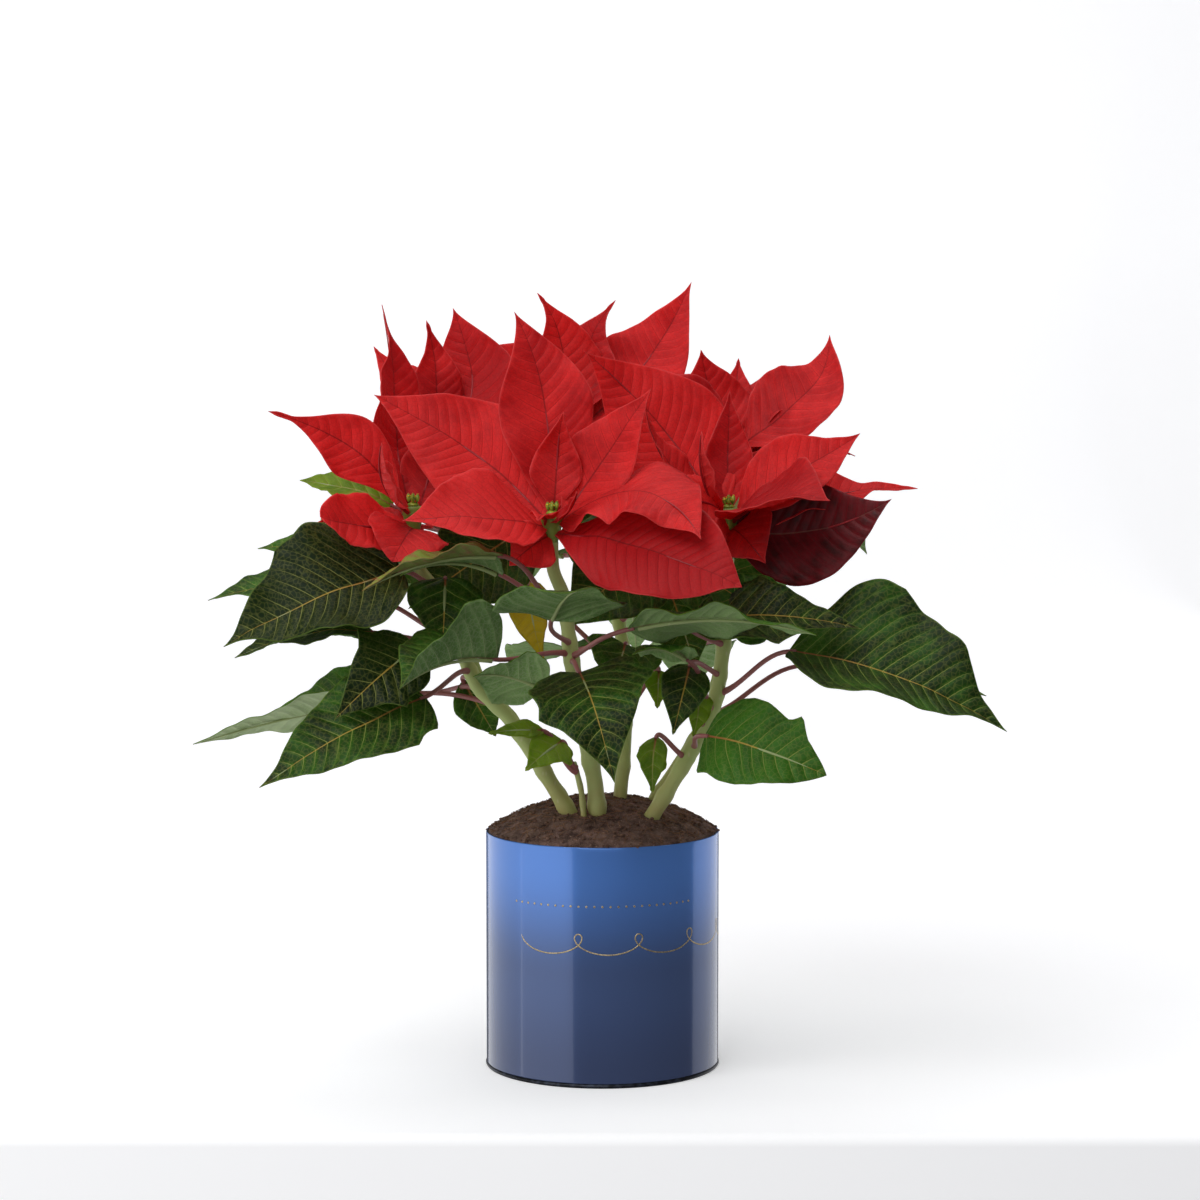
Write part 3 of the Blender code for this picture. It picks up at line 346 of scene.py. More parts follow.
def bladeSkin(name, look):
    material, add = newMaterial(name)
    sizes = veinSizes
    ribs, lay, tone = [add("Attribute", attribute_name=key).outputs["Vector"] for key in bladeMarks]
    phase, fromRib, fromEdge = add("SeparateXYZ", {0: ribs}).outputs
    along, draw, out = add("SeparateXYZ", {0: tone}).outputs
    # vein masks: the midrib narrows towards the tip, side veins thin out towards the edge
    left = add("Math", {0: 1.12, 1: along}, operation="SUBTRACT")
    ribShare = add("Math", {0: fromRib, 1: left}, operation="DIVIDE")
    midrib = add("MapRange", {0: ribShare, 1: sizes["midribSoft"], 2: sizes["midrib"],
                              3: look["veinMix"], 4: 0.0}, **smooth)
    fromSide = add("Math", {0: phase, 1: 0.5}, operation="PINGPONG")
    thinning = add("MapRange", {0: out, 3: 0.9, 4: 1.9}, **smooth)
    thinned = add("Math", {0: fromSide, 1: thinning}, operation="MULTIPLY")
    line = add("MapRange", {0: thinned, 2: sizes["sideVein"], 3: 1.0, 4: 0.0}, **smooth)
    faded = add("MapRange", {0: out, 1: 0.45, 3: look["veinMix"], 4: look["veinMix"] * 0.3}, **smooth)
    sideVein = add("Math", {0: line, 1: faded}, operation="MULTIPLY")
    cells = add("TexVoronoi", {"Vector": lay, "Scale": 1 / sizes["net"]}, feature="DISTANCE_TO_EDGE")
    net = add("MapRange", {0: cells, 2: sizes["netLine"], 3: look["netMix"], 4: 0.0}, **smooth)
    fine = add("Math", {0: sideVein, 1: net}, operation="MAXIMUM")
    marks = add("Math", {0: midrib, 1: fine}, operation="MAXIMUM")
    # colour: slow clouds from dark to light, shifted blade by blade by its tone (painted shade and painted
    # light where the tables give one), then the veins and the thin edge
    cloud = add("TexNoise", {"Vector": lay, "Scale": 1 / look["cloud"], "Detail": 4.0, "Roughness": 0.6})
    toneAndShadeShift = add("Math", {0: draw, 1: 0.5, 2: -0.25}, operation="MULTIPLY_ADD")
    shifted = add("Math", {0: cloud, 1: toneAndShadeShift}, operation="ADD")
    besideVein = add("MapRange", {0: fromSide, 2: 0.3, 3: 0.14, 4: 0.0}, **smooth)
    shade = add("Math", {0: shifted, 1: besideVein}, operation="ADD")
    groundShare = add("MapRange", {0: shade, 1: 0.25, 2: 0.8}, **smooth)
    ground = add("Mix", {0: groundShare, 6: look["dark"], 7: look["light"]}, **colours)
    ribFade = add("MapRange", {0: along, 2: 0.45}, **smooth)
    rib = add("Mix", {0: ribFade, 6: look["ribFoot"], 7: look["rib"]}, **colours)
    netted = add("Mix", {0: fine, 6: ground, 7: look["vein"]}, **colours)
    veined = add("Mix", {0: midrib, 6: netted, 7: rib}, **colours)
    # the thin edge is painted paler: painted light for light shining through the thin margin
    edgeGlowShare = add("MapRange", {0: fromEdge, 1: 0.1, 2: sizes["edge"], 3: 0.5, 4: 0.0}, **smooth)
    colour = add("Mix", {0: edgeGlowShare, 6: veined, 7: look["edge"]}, **colours)
    # relief: the skin swells between the side veins, away from the side that the veins stand out on
    rise = add("MapRange", {0: fromSide, 2: 0.34}, **smooth)
    inside = add("MapRange", {0: out, 1: 0.8, 3: 1.0, 4: 0.0}, **smooth)
    pillow = add("Math", {0: rise, 1: inside}, operation="MULTIPLY")
    grain = add("TexNoise", {"Vector": lay, "Scale": 1 / sizes["grain"], "Detail": 2.0})
    swelled = add("Bump", {"Strength": 0.7, "Distance": look["pillow"] * mm, "Height": pillow},
                  invert=look["raised"])
    sunk = add("Bump", {"Strength": 0.8, "Distance": sizes["sink"] * mm, "Height": marks, "Normal": swelled},
               invert=not look["raised"])
    bump = add("Bump", {"Strength": 0.6, "Distance": sizes["grainRelief"] * mm, "Height": grain,
                        "Normal": sunk})
    rough = add("MapRange", {0: grain, 1: 0.3, 2: 0.7, 3: look["rough"] - 0.07, 4: look["rough"] + 0.1})
    skin = add("BsdfPrincipled", {"Base Color": colour, "Roughness": rough, "IOR": 1.42,
                                  "Specular IOR Level": look["specular"], "Normal": bump})
    glow = add("Mix", {0: marks, 6: look["behind"], 7: look["dark"]}, **colours)
    lit = add("BsdfTranslucent", {"Color": glow, "Normal": bump})
    both = add("MixShader", {0: look["through"], 1: skin, 2: lit})
    add("OutputMaterial", {0: both})
    return material


# Bark: green and softly ridged, brownish at the foot, with pale lenticels. Sizes in mm, stretch a share
bark = dict(wash=9.0, stretch=0.35, streak=0.8, relief=0.15)


def stalkSkin(name, low, high, lowHeight, highHeight, rough, spotSize, spots):
    material, add = newMaterial(name)
    place = add("TexCoord").outputs["Object"]
    height = add("SeparateXYZ", {0: place}).outputs[2]
    wash = add("TexNoise", {"Vector": place, "Scale": 1 / (bark["wash"] * mm), "Detail": 5.0})
    rise = add("MapRange", {0: height, 1: lowHeight * mm, 2: highHeight * mm, 3: -0.3, 4: 0.7})
    share = add("Math", {0: rise, 1: wash}, operation="ADD", use_clamp=True)
    ground = add("Mix", {0: share, 6: low, 7: high}, **colours)
    long = add("Mapping", {0: place, 3: (1.0, 1.0, bark["stretch"])})
    cells = add("TexVoronoi", {"Vector": long, "Scale": 1 / (spotSize * mm)})
    spot = add("MapRange", {0: cells, 1: 0.08, 2: 0.22, 3: 0.55, 4: 0.0}, **smooth)
    colour = add("Mix", {0: spot, 6: ground, 7: spots}, **colours)
    streak = add("TexNoise", {"Vector": long, "Scale": 1 / (bark["streak"] * mm), "Detail": 3.0})
    bump = add("Bump", {"Strength": 0.5, "Distance": bark["relief"] * mm, "Height": streak})
    skin = add("BsdfPrincipled", {"Base Color": colour, "Roughness": rough, "IOR": 1.45, "Normal": bump})
    add("OutputMaterial", {0: skin})
    return material


def mottledSkin(name, grain, detail, spread, dark, light, rough, relief, finish):
    # a noise of this grain, in mm, mixes dark and light, and where rough is a pair it varies that too
    material, add = newMaterial(name)
    place = add("TexCoord").outputs["Object"]
    mottle = add("TexNoise", {"Vector": place, "Scale": 1 / (grain * mm), "Detail": detail})
    share = add("MapRange", {0: mottle, 1: spread[0], 2: spread[1]})
    colour = add("Mix", {0: share, 6: dark, 7: light}, **colours)
    if isinstance(rough, tuple):
        rough = add("MapRange", {0: mottle, 3: rough[0], 4: rough[1]})
    given = {"Base Color": colour, "Roughness": rough, **finish}
    if relief:
        given["Normal"] = add("Bump", {"Strength": 0.4, "Distance": relief * mm, "Height": mottle})
    add("OutputMaterial", {0: add("BsdfPrincipled", given)})
    return material


def flowerSkin(name, dark, light, rough, through=0.0):  # smooth living tissue of the true flowers
    return mottledSkin(name, 2.2, 3.0, (0.35, 0.65), dark, light, rough, 0.1,
                       {"IOR": 1.42, "Subsurface Weight": through, "Subsurface Scale": 0.8 * mm})


def footShadeTin():  # the rolled foot: dark tin, painted near black as the shade in the gap under the roll
    return mottledSkin("rolledFootShadeTin", 3.0, 5.0, (0.45, 0.7), "#15171d", "#3a3f4c", (0.3, 0.55), 0,
                       {"Metallic": 0.6})


def goldFoil():  # hot-stamped foil: a bright warm metal with fine breaks
    return mottledSkin("goldFoil", 0.7, 3.0, (0.35, 0.65), "#8d7a5c", "#e6cf9b", (0.25, 0.6), 0,
                       {"Metallic": 0.75})


lacquerLook = dict(top="#5583d0", middle="#455780", foot="#3d496a", topHeight=118.0, middleHeight=58.0,
                   footHeight=6.0, rough=0.22, metal=0.3, coat=0.5, coatRough=0.04,
                   orangePeel=1.6, peelDeep=0.02, wave=32.0, waveDeep=0.08)


def lacqueredTin():  # printed tinplate under clear lacquer, its blue made lighter towards the top and deeper slate towards the foot
    material, add = newMaterial("lacqueredTinplate")
    look = lacquerLook
    place = add("TexCoord").outputs["Object"]
    height = add("SeparateXYZ", {0: place}).outputs[2]
    upper = add("MapRange", {0: height, 1: look["middleHeight"] * mm, 2: look["topHeight"] * mm}, **smooth)
    lower = add("MapRange", {0: height, 1: look["footHeight"] * mm, 2: look["middleHeight"] * mm}, **smooth)
    slate = add("Mix", {0: lower, 6: look["foot"], 7: look["middle"]}, **colours)
    blue = add("Mix", {0: upper, 6: slate, 7: look["top"]}, **colours)
    peel = add("TexNoise", {"Vector": place, "Scale": 1 / (look["orangePeel"] * mm), "Detail": 1.0})
    wave = add("TexNoise", {"Vector": place, "Scale": 1 / (look["wave"] * mm), "Detail": 1.0})
    slow = add("Bump", {"Strength": 0.5, "Distance": look["waveDeep"] * mm, "Height": wave})
    bump = add("Bump", {"Strength": 0.25, "Distance": look["peelDeep"] * mm, "Height": peel, "Normal": slow})
    skin = add("BsdfPrincipled", {"Base Color": blue, "Roughness": look["rough"], "Metallic": look["metal"],
                                  "Specular IOR Level": 0.1, "Coat Weight": look["coat"],
                                  "Coat Roughness": look["coatRough"], "Normal": bump, "Coat Normal": bump})
    add("OutputMaterial", {0: skin})
    return material


def peatSkin(name, dark, light, fleck):  # coco and sphagnum peat: matt dark brown with paler fibres
    material, add = newMaterial(name)
    place = add("TexCoord").outputs["Object"]
    broad = add("TexNoise", {"Vector": place, "Scale": 1 / (7 * mm), "Detail": 6.0, "Roughness": 0.7})
    fine = add("TexNoise", {"Vector": place, "Scale": 1 / (0.9 * mm), "Detail": 4.0})
    share = add("MapRange", {0: broad, 1: 0.35, 2: 0.68})
    ground = add("Mix", {0: share, 6: dark, 7: light}, **colours)
    bits = add("MapRange", {0: fine, 1: 0.6, 2: 0.74, 4: 0.7})
    colour = add("Mix", {0: bits, 6: ground, 7: fleck}, **colours)
    bump = add("Bump", {"Strength": 1.0, "Distance": 0.5 * mm, "Height": fine})
    skin = add("BsdfPrincipled", {"Base Color": colour, "Roughness": 0.95, "Specular IOR Level": 0.2,
                                  "Normal": bump})
    add("OutputMaterial", {0: skin})
    return material


# Fine blade: the same outline and bow as the solid's blade, on a close grid with rounded relief
blades = dict(
    thick=0.42,          # mm, near a real leaf
    step=1.9,            # mm between grid points on blades that the front shows
    stepBehind=3.2,
    rowEase=1.12,        # draws the grid's rows together towards the tip
    stalkHalfWidth=1.3,
    shoulder=1.7,        # how round the outline is past its widest place
    lobeReach=0.1,       # share of the length that a lobe spreads to each side
    lobeRound=1.3,
    hookFrom=0.7,        # share of the length from which the tip hooks up
    swayFrom=0.6,
    waveWidth=12.0,      # mm of half width from which the waves have their full height
    fineWidth=8,
    ribRise=0.62,        # how far a side vein climbs for each mm that it runs out
    ribBow=0.3,
    ribWander=0.22,
    swellRound=0.7,
    swellFoot=7,
    quiltWidth=14.0,
    edgeWander=0.04,
    sagSpan=24.0,
    ribEnd=0.96,         # share of the length at which the raised midrib ends
    ribThin=0.14,        # mm, its radius there
)
# quilt: mm that the skin swells between side veins, ruffle: mm of fine waves at the edge, sag: mm of
# slow unevenness over the whole blade, ribStep: mm between side veins, ribThick: mm, the midrib's radius
leafForm = dict(peak=0.32, foot=0.6, taper=1.4, ribStep=7.2, ribThick=1.0, quilt=0.7, ruffle=0.45, sag=1.8)
bractForm = dict(peak=0.44, foot=1.0, taper=1.5, ribStep=6.4, ribThick=0.8, quilt=0.6, ruffle=0.4, sag=2.6)


def halfWidth(blade, t, side):
    peak = blade["peak"]
    if t < peak:
        share = math.sin(math.pi / 2 * t / peak) ** blade["foot"]
    else:
        share = max(0.0, 1 - ((t - peak) / (1 - peak)) ** blades["shoulder"]) ** blade["taper"]
    wide = blade["width"] / 2 * share
    wide *= 1 + blades["edgeWander"] * noise.noise(Vector((t * 6, side * 9, blade["order"] * 3.7)))
    for lobeSide, place, depth in blade["lobes"]:
        if lobeSide == side:
            wide += depth * max(0.0, 1 - abs(t - place) / blades["lobeReach"]) ** blades["lobeRound"]
    return max(wide, blades["stalkHalfWidth"] * min(1.0, (1 - t) * 20))


def spine(blade, t):
    bow = 4 * t * (1 - t)
    hooked = max(0.0, (t - blades["hookFrom"]) / (1 - blades["hookFrom"])) ** 2
    swayed = max(0.0, (t - blades["swayFrom"]) / (1 - blades["swayFrom"])) ** 2
    lift = blade["arch"] * bow + blade["hook"] * hooked
    aside = blade["bend"] * bow + blade["sway"] * swayed
    return blade["base"] + blade["along"] * t + blade["up"] * lift + blade["side"] * aside


def bladeAxes(blade, t):  # the midrib's place, the way that the upper face looks, and across
    tangent = (spine(blade, t + 0.01) - spine(blade, t - 0.01)).normalized()
    up = (blade["up"] - tangent * blade["up"].dot(tangent)).normalized()
    up.rotate(Matrix.Rotation(math.radians(blade["twist"]) * (t - 0.25), 3, tangent))
    return spine(blade, t), up, tangent.cross(up)


def growBlade(bm, blade, materialIndex):
    ribs, lay, tone = [bm.verts.layers.float_vector[name] for name in bladeMarks]
    length = blade["along"].length
    step = blades["stepBehind"] if blade["behind"] else blades["step"]
    rows = max(8, round(length / step))
    halfColumns = max(3, round(blade["width"] / 2 / step))
    veins = length / blade["ribStep"]
    made = bmesh.ops.create_grid(bm, x_segments=2 * halfColumns, y_segments=rows, size=0.5)["verts"]
    for face in {face for vert in made for face in vert.link_faces}:
        face.material_index = materialIndex
    rowAxes = {}
    for vert in made:
        row = round((vert.co.y + 0.5) * rows)
        v = round(vert.co.x * 2 * halfColumns) / halfColumns
        t = 1 - (1 - row / rows) ** blades["rowEase"]
        side = 1 if v > 0 else -1
        if row not in rowAxes:
            wides = {s: halfWidth(blade, t, s) if t < 1 else 0.0 for s in (-1, 1)}
            rowAxes[row] = (bladeAxes(blade, t), wides)
        (here, up, across), wides = rowAxes[row]
        wide = wides[side]
        out = abs(v)
        wander = noise.noise(Vector((t * 5, side * 4, blade["order"] * 1.3))) * blades["ribWander"]
        climb = blades["ribRise"] * wide / length * (out + blades["ribBow"] * out ** 3)
        phase = veins * (t - climb) + wander
        swell = abs(math.sin(math.pi * phase)) ** blades["swellRound"]
        swell = swell * (1 - math.exp(-blades["swellFoot"] * out)) * (1 - out ** 5)
        angle = blade["curl"] * out or 1e-6
        reach = wide * out * math.sin(angle) / angle
        rise = wide * out * (1 - math.cos(angle)) / angle + blade["fold"] * reach
        turn = 2 * math.pi * (blade["waves"] * t + blade["phase"] + 0.2 * side)
        rise += blade["wave"] * out ** 1.5 * math.sin(turn) * min(1.0, wide / blades["waveWidth"])
        fineShare = min(1.0, wide / blades["fineWidth"])
        rise += blade["ruffle"] * out ** 3 * math.sin(turn * 3.3 + side) * fineShare
        rise += blade["quilt"] * swell * min(1.0, wide / blades["quiltWidth"])
        slow = noise.noise(Vector((v * wide, t * length, blade["order"] * 40)) / blades["sagSpan"])
        rise += blade["sag"] * slow * min(1.0, t * 5) * fineShare
        vert.co = here + across * reach * side + up * rise
        vert[ribs] = (phase, wide * out, wide * (1 - out))
        vert[lay] = (v * wide, t * length, blade["order"] * 10.0)
        vert[tone] = (t, blade["tone"], out)
    tips = [vert for vert in made if vert.is_valid and (vert.co - spine(blade, 1.0)).length < 0.01]
    bmesh.ops.remove_doubles(bm, verts=tips, dist=0.02)


def setBlade(entry, order, form):
    draw = random.Random(order)
    blade = dict(bend=0, curl=0.25, fold=0.08, twist=0, wave=1.5, waves=2.5, hook=0, sway=0, lobes=(),
                 phase=draw.random(), tone=draw.random(), order=order, behind=entry["face"] is None)
    blade.update(form)
    blade.update(entry)
    blade["face"] = blade["face"] or (0, 0, 1)
    for key in ("base", "tip", "face"):
        blade[key] = Vector(blade[key])
    blade["along"] = blade["tip"] - blade["base"]
    chord = blade["along"].normalized()
    blade["up"] = (blade["face"] - chord * blade["face"].dot(chord)).normalized()
    blade["side"] = chord.cross(blade["up"])
    return blade


def bladeSheet(bladeList, materials, kinds):  # one thin closed skin for all the blades of a node
    bm = bmesh.new()
    for name in bladeMarks:
        bm.verts.layers.float_vector.new(name)
    for blade in bladeList:
        growBlade(bm, blade, sum(index for kind, index in kinds.items() if kind in blade))
    thing = objectFrom(bm, *materials)
    skin = thing.modifiers.new("skin", "SOLIDIFY")
    skin.thickness = blades["thick"]
    skin.offset = 0
    skin.use_even_offset = False
    skin.material_offset = 1
    return applied(thing)


def addSpline(curve, line, radii, materialIndex):
    spline = curve.splines.new("POLY")
    spline.points.add(len(line) - 1)
    spline.use_smooth = True
    spline.material_index = materialIndex
    for point, place, radius in zip(spline.points, line, radii):
        point.co = (*place, 1)
        point.radius = radius


def newCurve(resolution, *materials):
    curve = bpy.data.curves.new("line", "CURVE")
    curve.dimensions = "3D"
    curve.bevel_depth = 1.0
    curve.bevel_resolution = resolution
    curve.use_fill_caps = True
    return linked(bpy.data.objects.new("line", curve), materials)


def midribLine(blade, startT, steps):  # lies under the blade, thick at the foot and fine at the tip
    line = []
    radii = []
    for k in range(steps + 1):
        t = startT + (blades["ribEnd"] - startT) * k / steps
        here, up, _ = bladeAxes(blade, t)
        radius = blade["ribThick"] * (1 - t) ** 0.8 + blades["ribThin"]
        line.append(here - up * (radius + 0.05))
        radii.append(radius)
    return line, radii


# Stems: round and a little knotted, with a swelling and a scar where each leaf leaves or has left
stalks = dict(
    stemStep=2.5,
    knotSpan=3.2,        # mm of stem that a knot swells
    knotRise=0.2,        # share of the radius
    scarsPerStem=3,
    petioleRadius=1.4,
    petioleTaper=0.85,
    petioleSteps=14,
    petioleFoot=0.45,    # share that a leaf stalk is thicker where it leaves the stem
    petioleRise=0.25,    # how steeply it leaves, for each mm of its reach
    petioleEase=(0.36, 0.3),  # shares of its reach in which it bends off the stem and into the leaf
    easeRounds=5,        # how often the stem's corners are eased
    uneven=0.03,
    scarFoot=128,        # mm, the lowest place for a scar, just above the pot's rim
)


def stemLine(name):
    line = [Vector(point) for point in stems[name]["path"]]
    if name in hubs:
        hub = Vector(hubs[name])
        line.append(hub - Vector((0, 0, bloom["hubHeight"] + bloom["neckHeight"])))
        line.append(hub - Vector((0, 0, bloom["hubHeight"] - 0.5)))
    return line


def stemPlace(name, height):
    line = stemLine(name)
    for low, high in zip(line, line[1:]):
        if height <= high.z:
            break
    return low.lerp(high, (height - low.z) / (high.z - low.z))


def roundedLine(line, step):  # even points along the line, its corners eased
    points = []
    for low, high in zip(line, line[1:]):
        count = max(1, round((high - low).length / step))
        points += [low.lerp(high, k / count) for k in range(count)]
    points.append(line[-1])
    for _ in range(stalks["easeRounds"]):
        points[1:-1] = [(a + 2 * b + c) / 4 for a, b, c in zip(points, points[1:], points[2:])]
    return points


def petioleLine(blade, start):
    inside = spine(blade, 0.03)
    reach = (blade["base"] - start).length
    arrive = (spine(blade, 0.1) - blade["base"]).normalized()
    leave = blade["base"] - start
    leave.z = stalks["petioleRise"] * reach
    first = start + leave.normalized() * reach * stalks["petioleEase"][0]
    second = blade["base"] - arrive * reach * stalks["petioleEase"][1]
    line = []
    for k in range(stalks["petioleSteps"] + 1):
        t = k / stalks["petioleSteps"]
        s = 1 - t
        line.append(start * s ** 3 + 3 * first * s * s * t + 3 * second * s * t * t + inside * t ** 3)
    return line


def growStem(name, stem, leafBlades, materials):
    thing = newCurve(4, *materials)
    line = roundedLine(stemLine(name), stalks["stemStep"])
    heights = [blade["at"] for blade in leafBlades]
    draw = random.Random(name)
    bare = min(heights) - stalks["scarFoot"]
    heights += [stalks["scarFoot"] + bare * (k + draw.uniform(0.3, 0.7)) / stalks["scarsPerStem"]
                for k in range(stalks["scarsPerStem"])]
    radii = []
    for k, place in enumerate(line):
        radius = stem["radii"][0] + (stem["radii"][1] - stem["radii"][0]) * k / (len(line) - 1)
        near = min(abs(place.z - height) for height in heights)
        knot = stalks["knotRise"] * math.exp(-(near / stalks["knotSpan"]) ** 2)
        radii.append(radius * (1 + knot + stalks["uneven"] * noise.noise(place / 6)))
    addSpline(thing.data, line, radii, 0)
    for blade in leafBlades:
        line = petioleLine(blade, stemPlace(name, blade["at"]))
        steps = len(line) - 1
        radii = []
        for k in range(steps + 1):
            t = k / steps
            radius = stalks["petioleRadius"] * (1 - (1 - stalks["petioleTaper"]) * t)
            radii.append(radius * (1 + stalks["petioleFoot"] * math.exp(-(t * 7) ** 2)))
        ribLine, ribRadii = midribLine(blade, 0.05, 16)
        addSpline(thing.data, line, radii, 1)
        addSpline(thing.data, ribLine, ribRadii, 2)
    return applied(thing)


# Bloom: a short green receptacle on the stem's end, closely set with bract stalks
bloom = dict(
    hubHeight=15.0, hubTopRadius=6.2, hubFootRadius=3.0, neckHeight=14.0, rootSunk=1.9,
    profile=[(-15.6, 2.9), (-14, 3.1), (-11, 3.9), (-7.5, 4.7), (-4, 5.6), (-1.6, 6.1), (-0.5, 5.8),
             (0, 4.9)])  # height from the hub's top and radius


def bractBlade(name, entry, order):
    angle = math.radians(entry["root"])
    share = entry["level"] / bloom["hubHeight"]
    out = bloom["hubTopRadius"] * (1 - share) + bloom["hubFootRadius"] * share - bloom["rootSunk"]
    foot = Vector(hubs[name]) + Vector((math.cos(angle) * out, math.sin(angle) * out, -entry["level"]))
    return setBlade(dict(entry, base=foot), order, bractForm)


def growHub(name, bractBlades, materials):
    thing = newCurve(4, *materials)
    hub = Vector(hubs[name])
    heights, radii = zip(*bloom["profile"])
    addSpline(thing.data, [hub + Vector((0, 0, z)) for z in heights], radii, 0)
    for blade in bractBlades:
        line, radii = midribLine(blade, 0.0, 18)
        radii[0] *= 1.6
        radii[1] *= 1.25
        addSpline(thing.data, line, radii, 1)
    return applied(thing)


# True flowers: green cups with a yellow gland on the side and red-tipped stamens, on a low cushion
flower = dict(
    cups=5, height=4.6, spread=1.92, lean=0.12, rise=1.5, cushionRadius=3.1, cushionFlat=0.62, stamens=4,
    cup=[(0.25, 0.0), (0.75, 0.14), (1.12, 0.36), (1.25, 0.55), (1.1, 0.74), (0.72, 0.88), (0.62, 0.95),
         (0.42, 0.9), (0.0, 0.84)],  # radius in mm, share of the height
    glandOut=1.15, glandUp=0.72, glandRadius=0.75, glandShape=(0.55, 1, 0.5, 1),
    stamenRing=0.35, headRadius=0.27, stamenFoot=0.11, stamenTop=0.09, stamenTall=1.2)


def paintFaces(made, materialIndex):
    for face in {face for vert in made["verts"] for face in vert.link_faces}:
        face.material_index = materialIndex


def growFlowers(order, name, materials):
    draw = random.Random(order)
    bm = bmesh.new()
    foot = Vector(hubs[name]) + Vector((0, 0, 0.3))
    flat = Matrix.Diagonal((1, 1, flower["cushionFlat"], 1))
    bmesh.ops.create_uvsphere(bm, u_segments=20, v_segments=10, radius=flower["cushionRadius"],
                              matrix=Matrix.Translation(foot) @ flat)
    bmesh.ops.bisect_plane(bm, geom=bm.verts[:] + bm.edges[:] + bm.faces[:], plane_co=foot,
                           plane_no=(0, 0, -1), clear_outer=True)
    bmesh.ops.holes_fill(bm, edges=[edge for edge in bm.edges if edge.is_boundary])
    for k in range(flower["cups"]):
        away = flower["spread"] if k else 0.0
        angle = 2 * math.pi * k / (flower["cups"] - 1) + draw.uniform(-0.1, 0.1)
        outward = Vector((math.cos(angle), math.sin(angle), 0))
        tall = flower["height"] * draw.uniform(0.8, 1.15)
        lean = (outward * (flower["lean"] if k else 0) + Vector((0, 0, 1))).to_track_quat("Z", "Y")
        lean = lean.to_matrix().to_4x4()
        place = Matrix.Translation(foot + outward * away + Vector((0, 0, flower["rise"]))) @ lean
        cup = [bm.verts.new(place @ Vector((radius, 0, share * tall))) for radius, share in flower["cup"]]
        edges = [bm.edges.new(pair) for pair in zip(cup, cup[1:])]
        axis = place.to_3x3() @ Vector((0, 0, 1))
        bmesh.ops.spin(bm, geom=cup + edges, axis=axis, cent=place.translation, angle=2 * math.pi, steps=16,
                       use_merge=True)
        glandPlace = Matrix.Translation(place @ Vector((flower["glandOut"], 0, flower["glandUp"] * tall)))
        gland = bmesh.ops.create_uvsphere(bm, u_segments=14, v_segments=8, radius=flower["glandRadius"],
                                          matrix=glandPlace @ lean @ Matrix.Diagonal(flower["glandShape"]))
        paintFaces(gland, 1)
        for s in range(flower["stamens"]):
            turn = 2 * math.pi * (s + draw.random()) / flower["stamens"]
            ring = flower["stamenRing"]
            level = tall * draw.uniform(0.96, 1.04)
            tip = place @ Vector((ring * math.cos(turn), ring * math.sin(turn), level))
            middle = tip - Vector((0, 0, flower["stamenTall"] / 2))
            paintFaces(bmesh.ops.create_icosphere(bm, subdivisions=1, radius=flower["headRadius"],
                                                  matrix=Matrix.Translation(tip)), 2)
            paintFaces(bmesh.ops.create_cone(bm, cap_ends=True, segments=5, radius1=flower["stamenFoot"],
                                             radius2=flower["stamenTop"], depth=flower["stamenTall"],
                                             matrix=Matrix.Translation(middle)), 2)
    bmesh.ops.remove_doubles(bm, verts=bm.verts, dist=0.01)
    bmesh.ops.recalc_face_normals(bm, faces=bm.faces)
    return objectFrom(bm, *materials)


# Pot: straight thin tin with a folded rim, a rolled foot and a lock seam down the back
pot = dict(radius=62.5, height=127.0, wall=0.9, footHeight=2.4, footProud=0.45, sides=160,
           rimRound=0.42, seamWidth=5.5, seamProud=0.28, seamShort=8)


def turnedShape(bm, profile, steps):  # points of radius and height turned once about the pot's axis
    verts = [bm.verts.new((radius, 0, height)) for radius, height in profile]
    edges = [bm.edges.new(pair) for pair in zip(verts, verts[1:])]
    bmesh.ops.spin(bm, geom=verts + edges, axis=(0, 0, 1), cent=(0, 0, 0), angle=2 * math.pi,
                   steps=steps, use_merge=True)
    bmesh.ops.remove_doubles(bm, verts=bm.verts, dist=0.001)


def arc(centre, radius, start, end, steps):  # points on part of a circle in the profile, in degrees
    angles = [math.radians(start + (end - start) * k / steps) for k in range(steps + 1)]
    return [(centre[0] + radius * math.cos(a), centre[1] + radius * math.sin(a)) for a in angles]


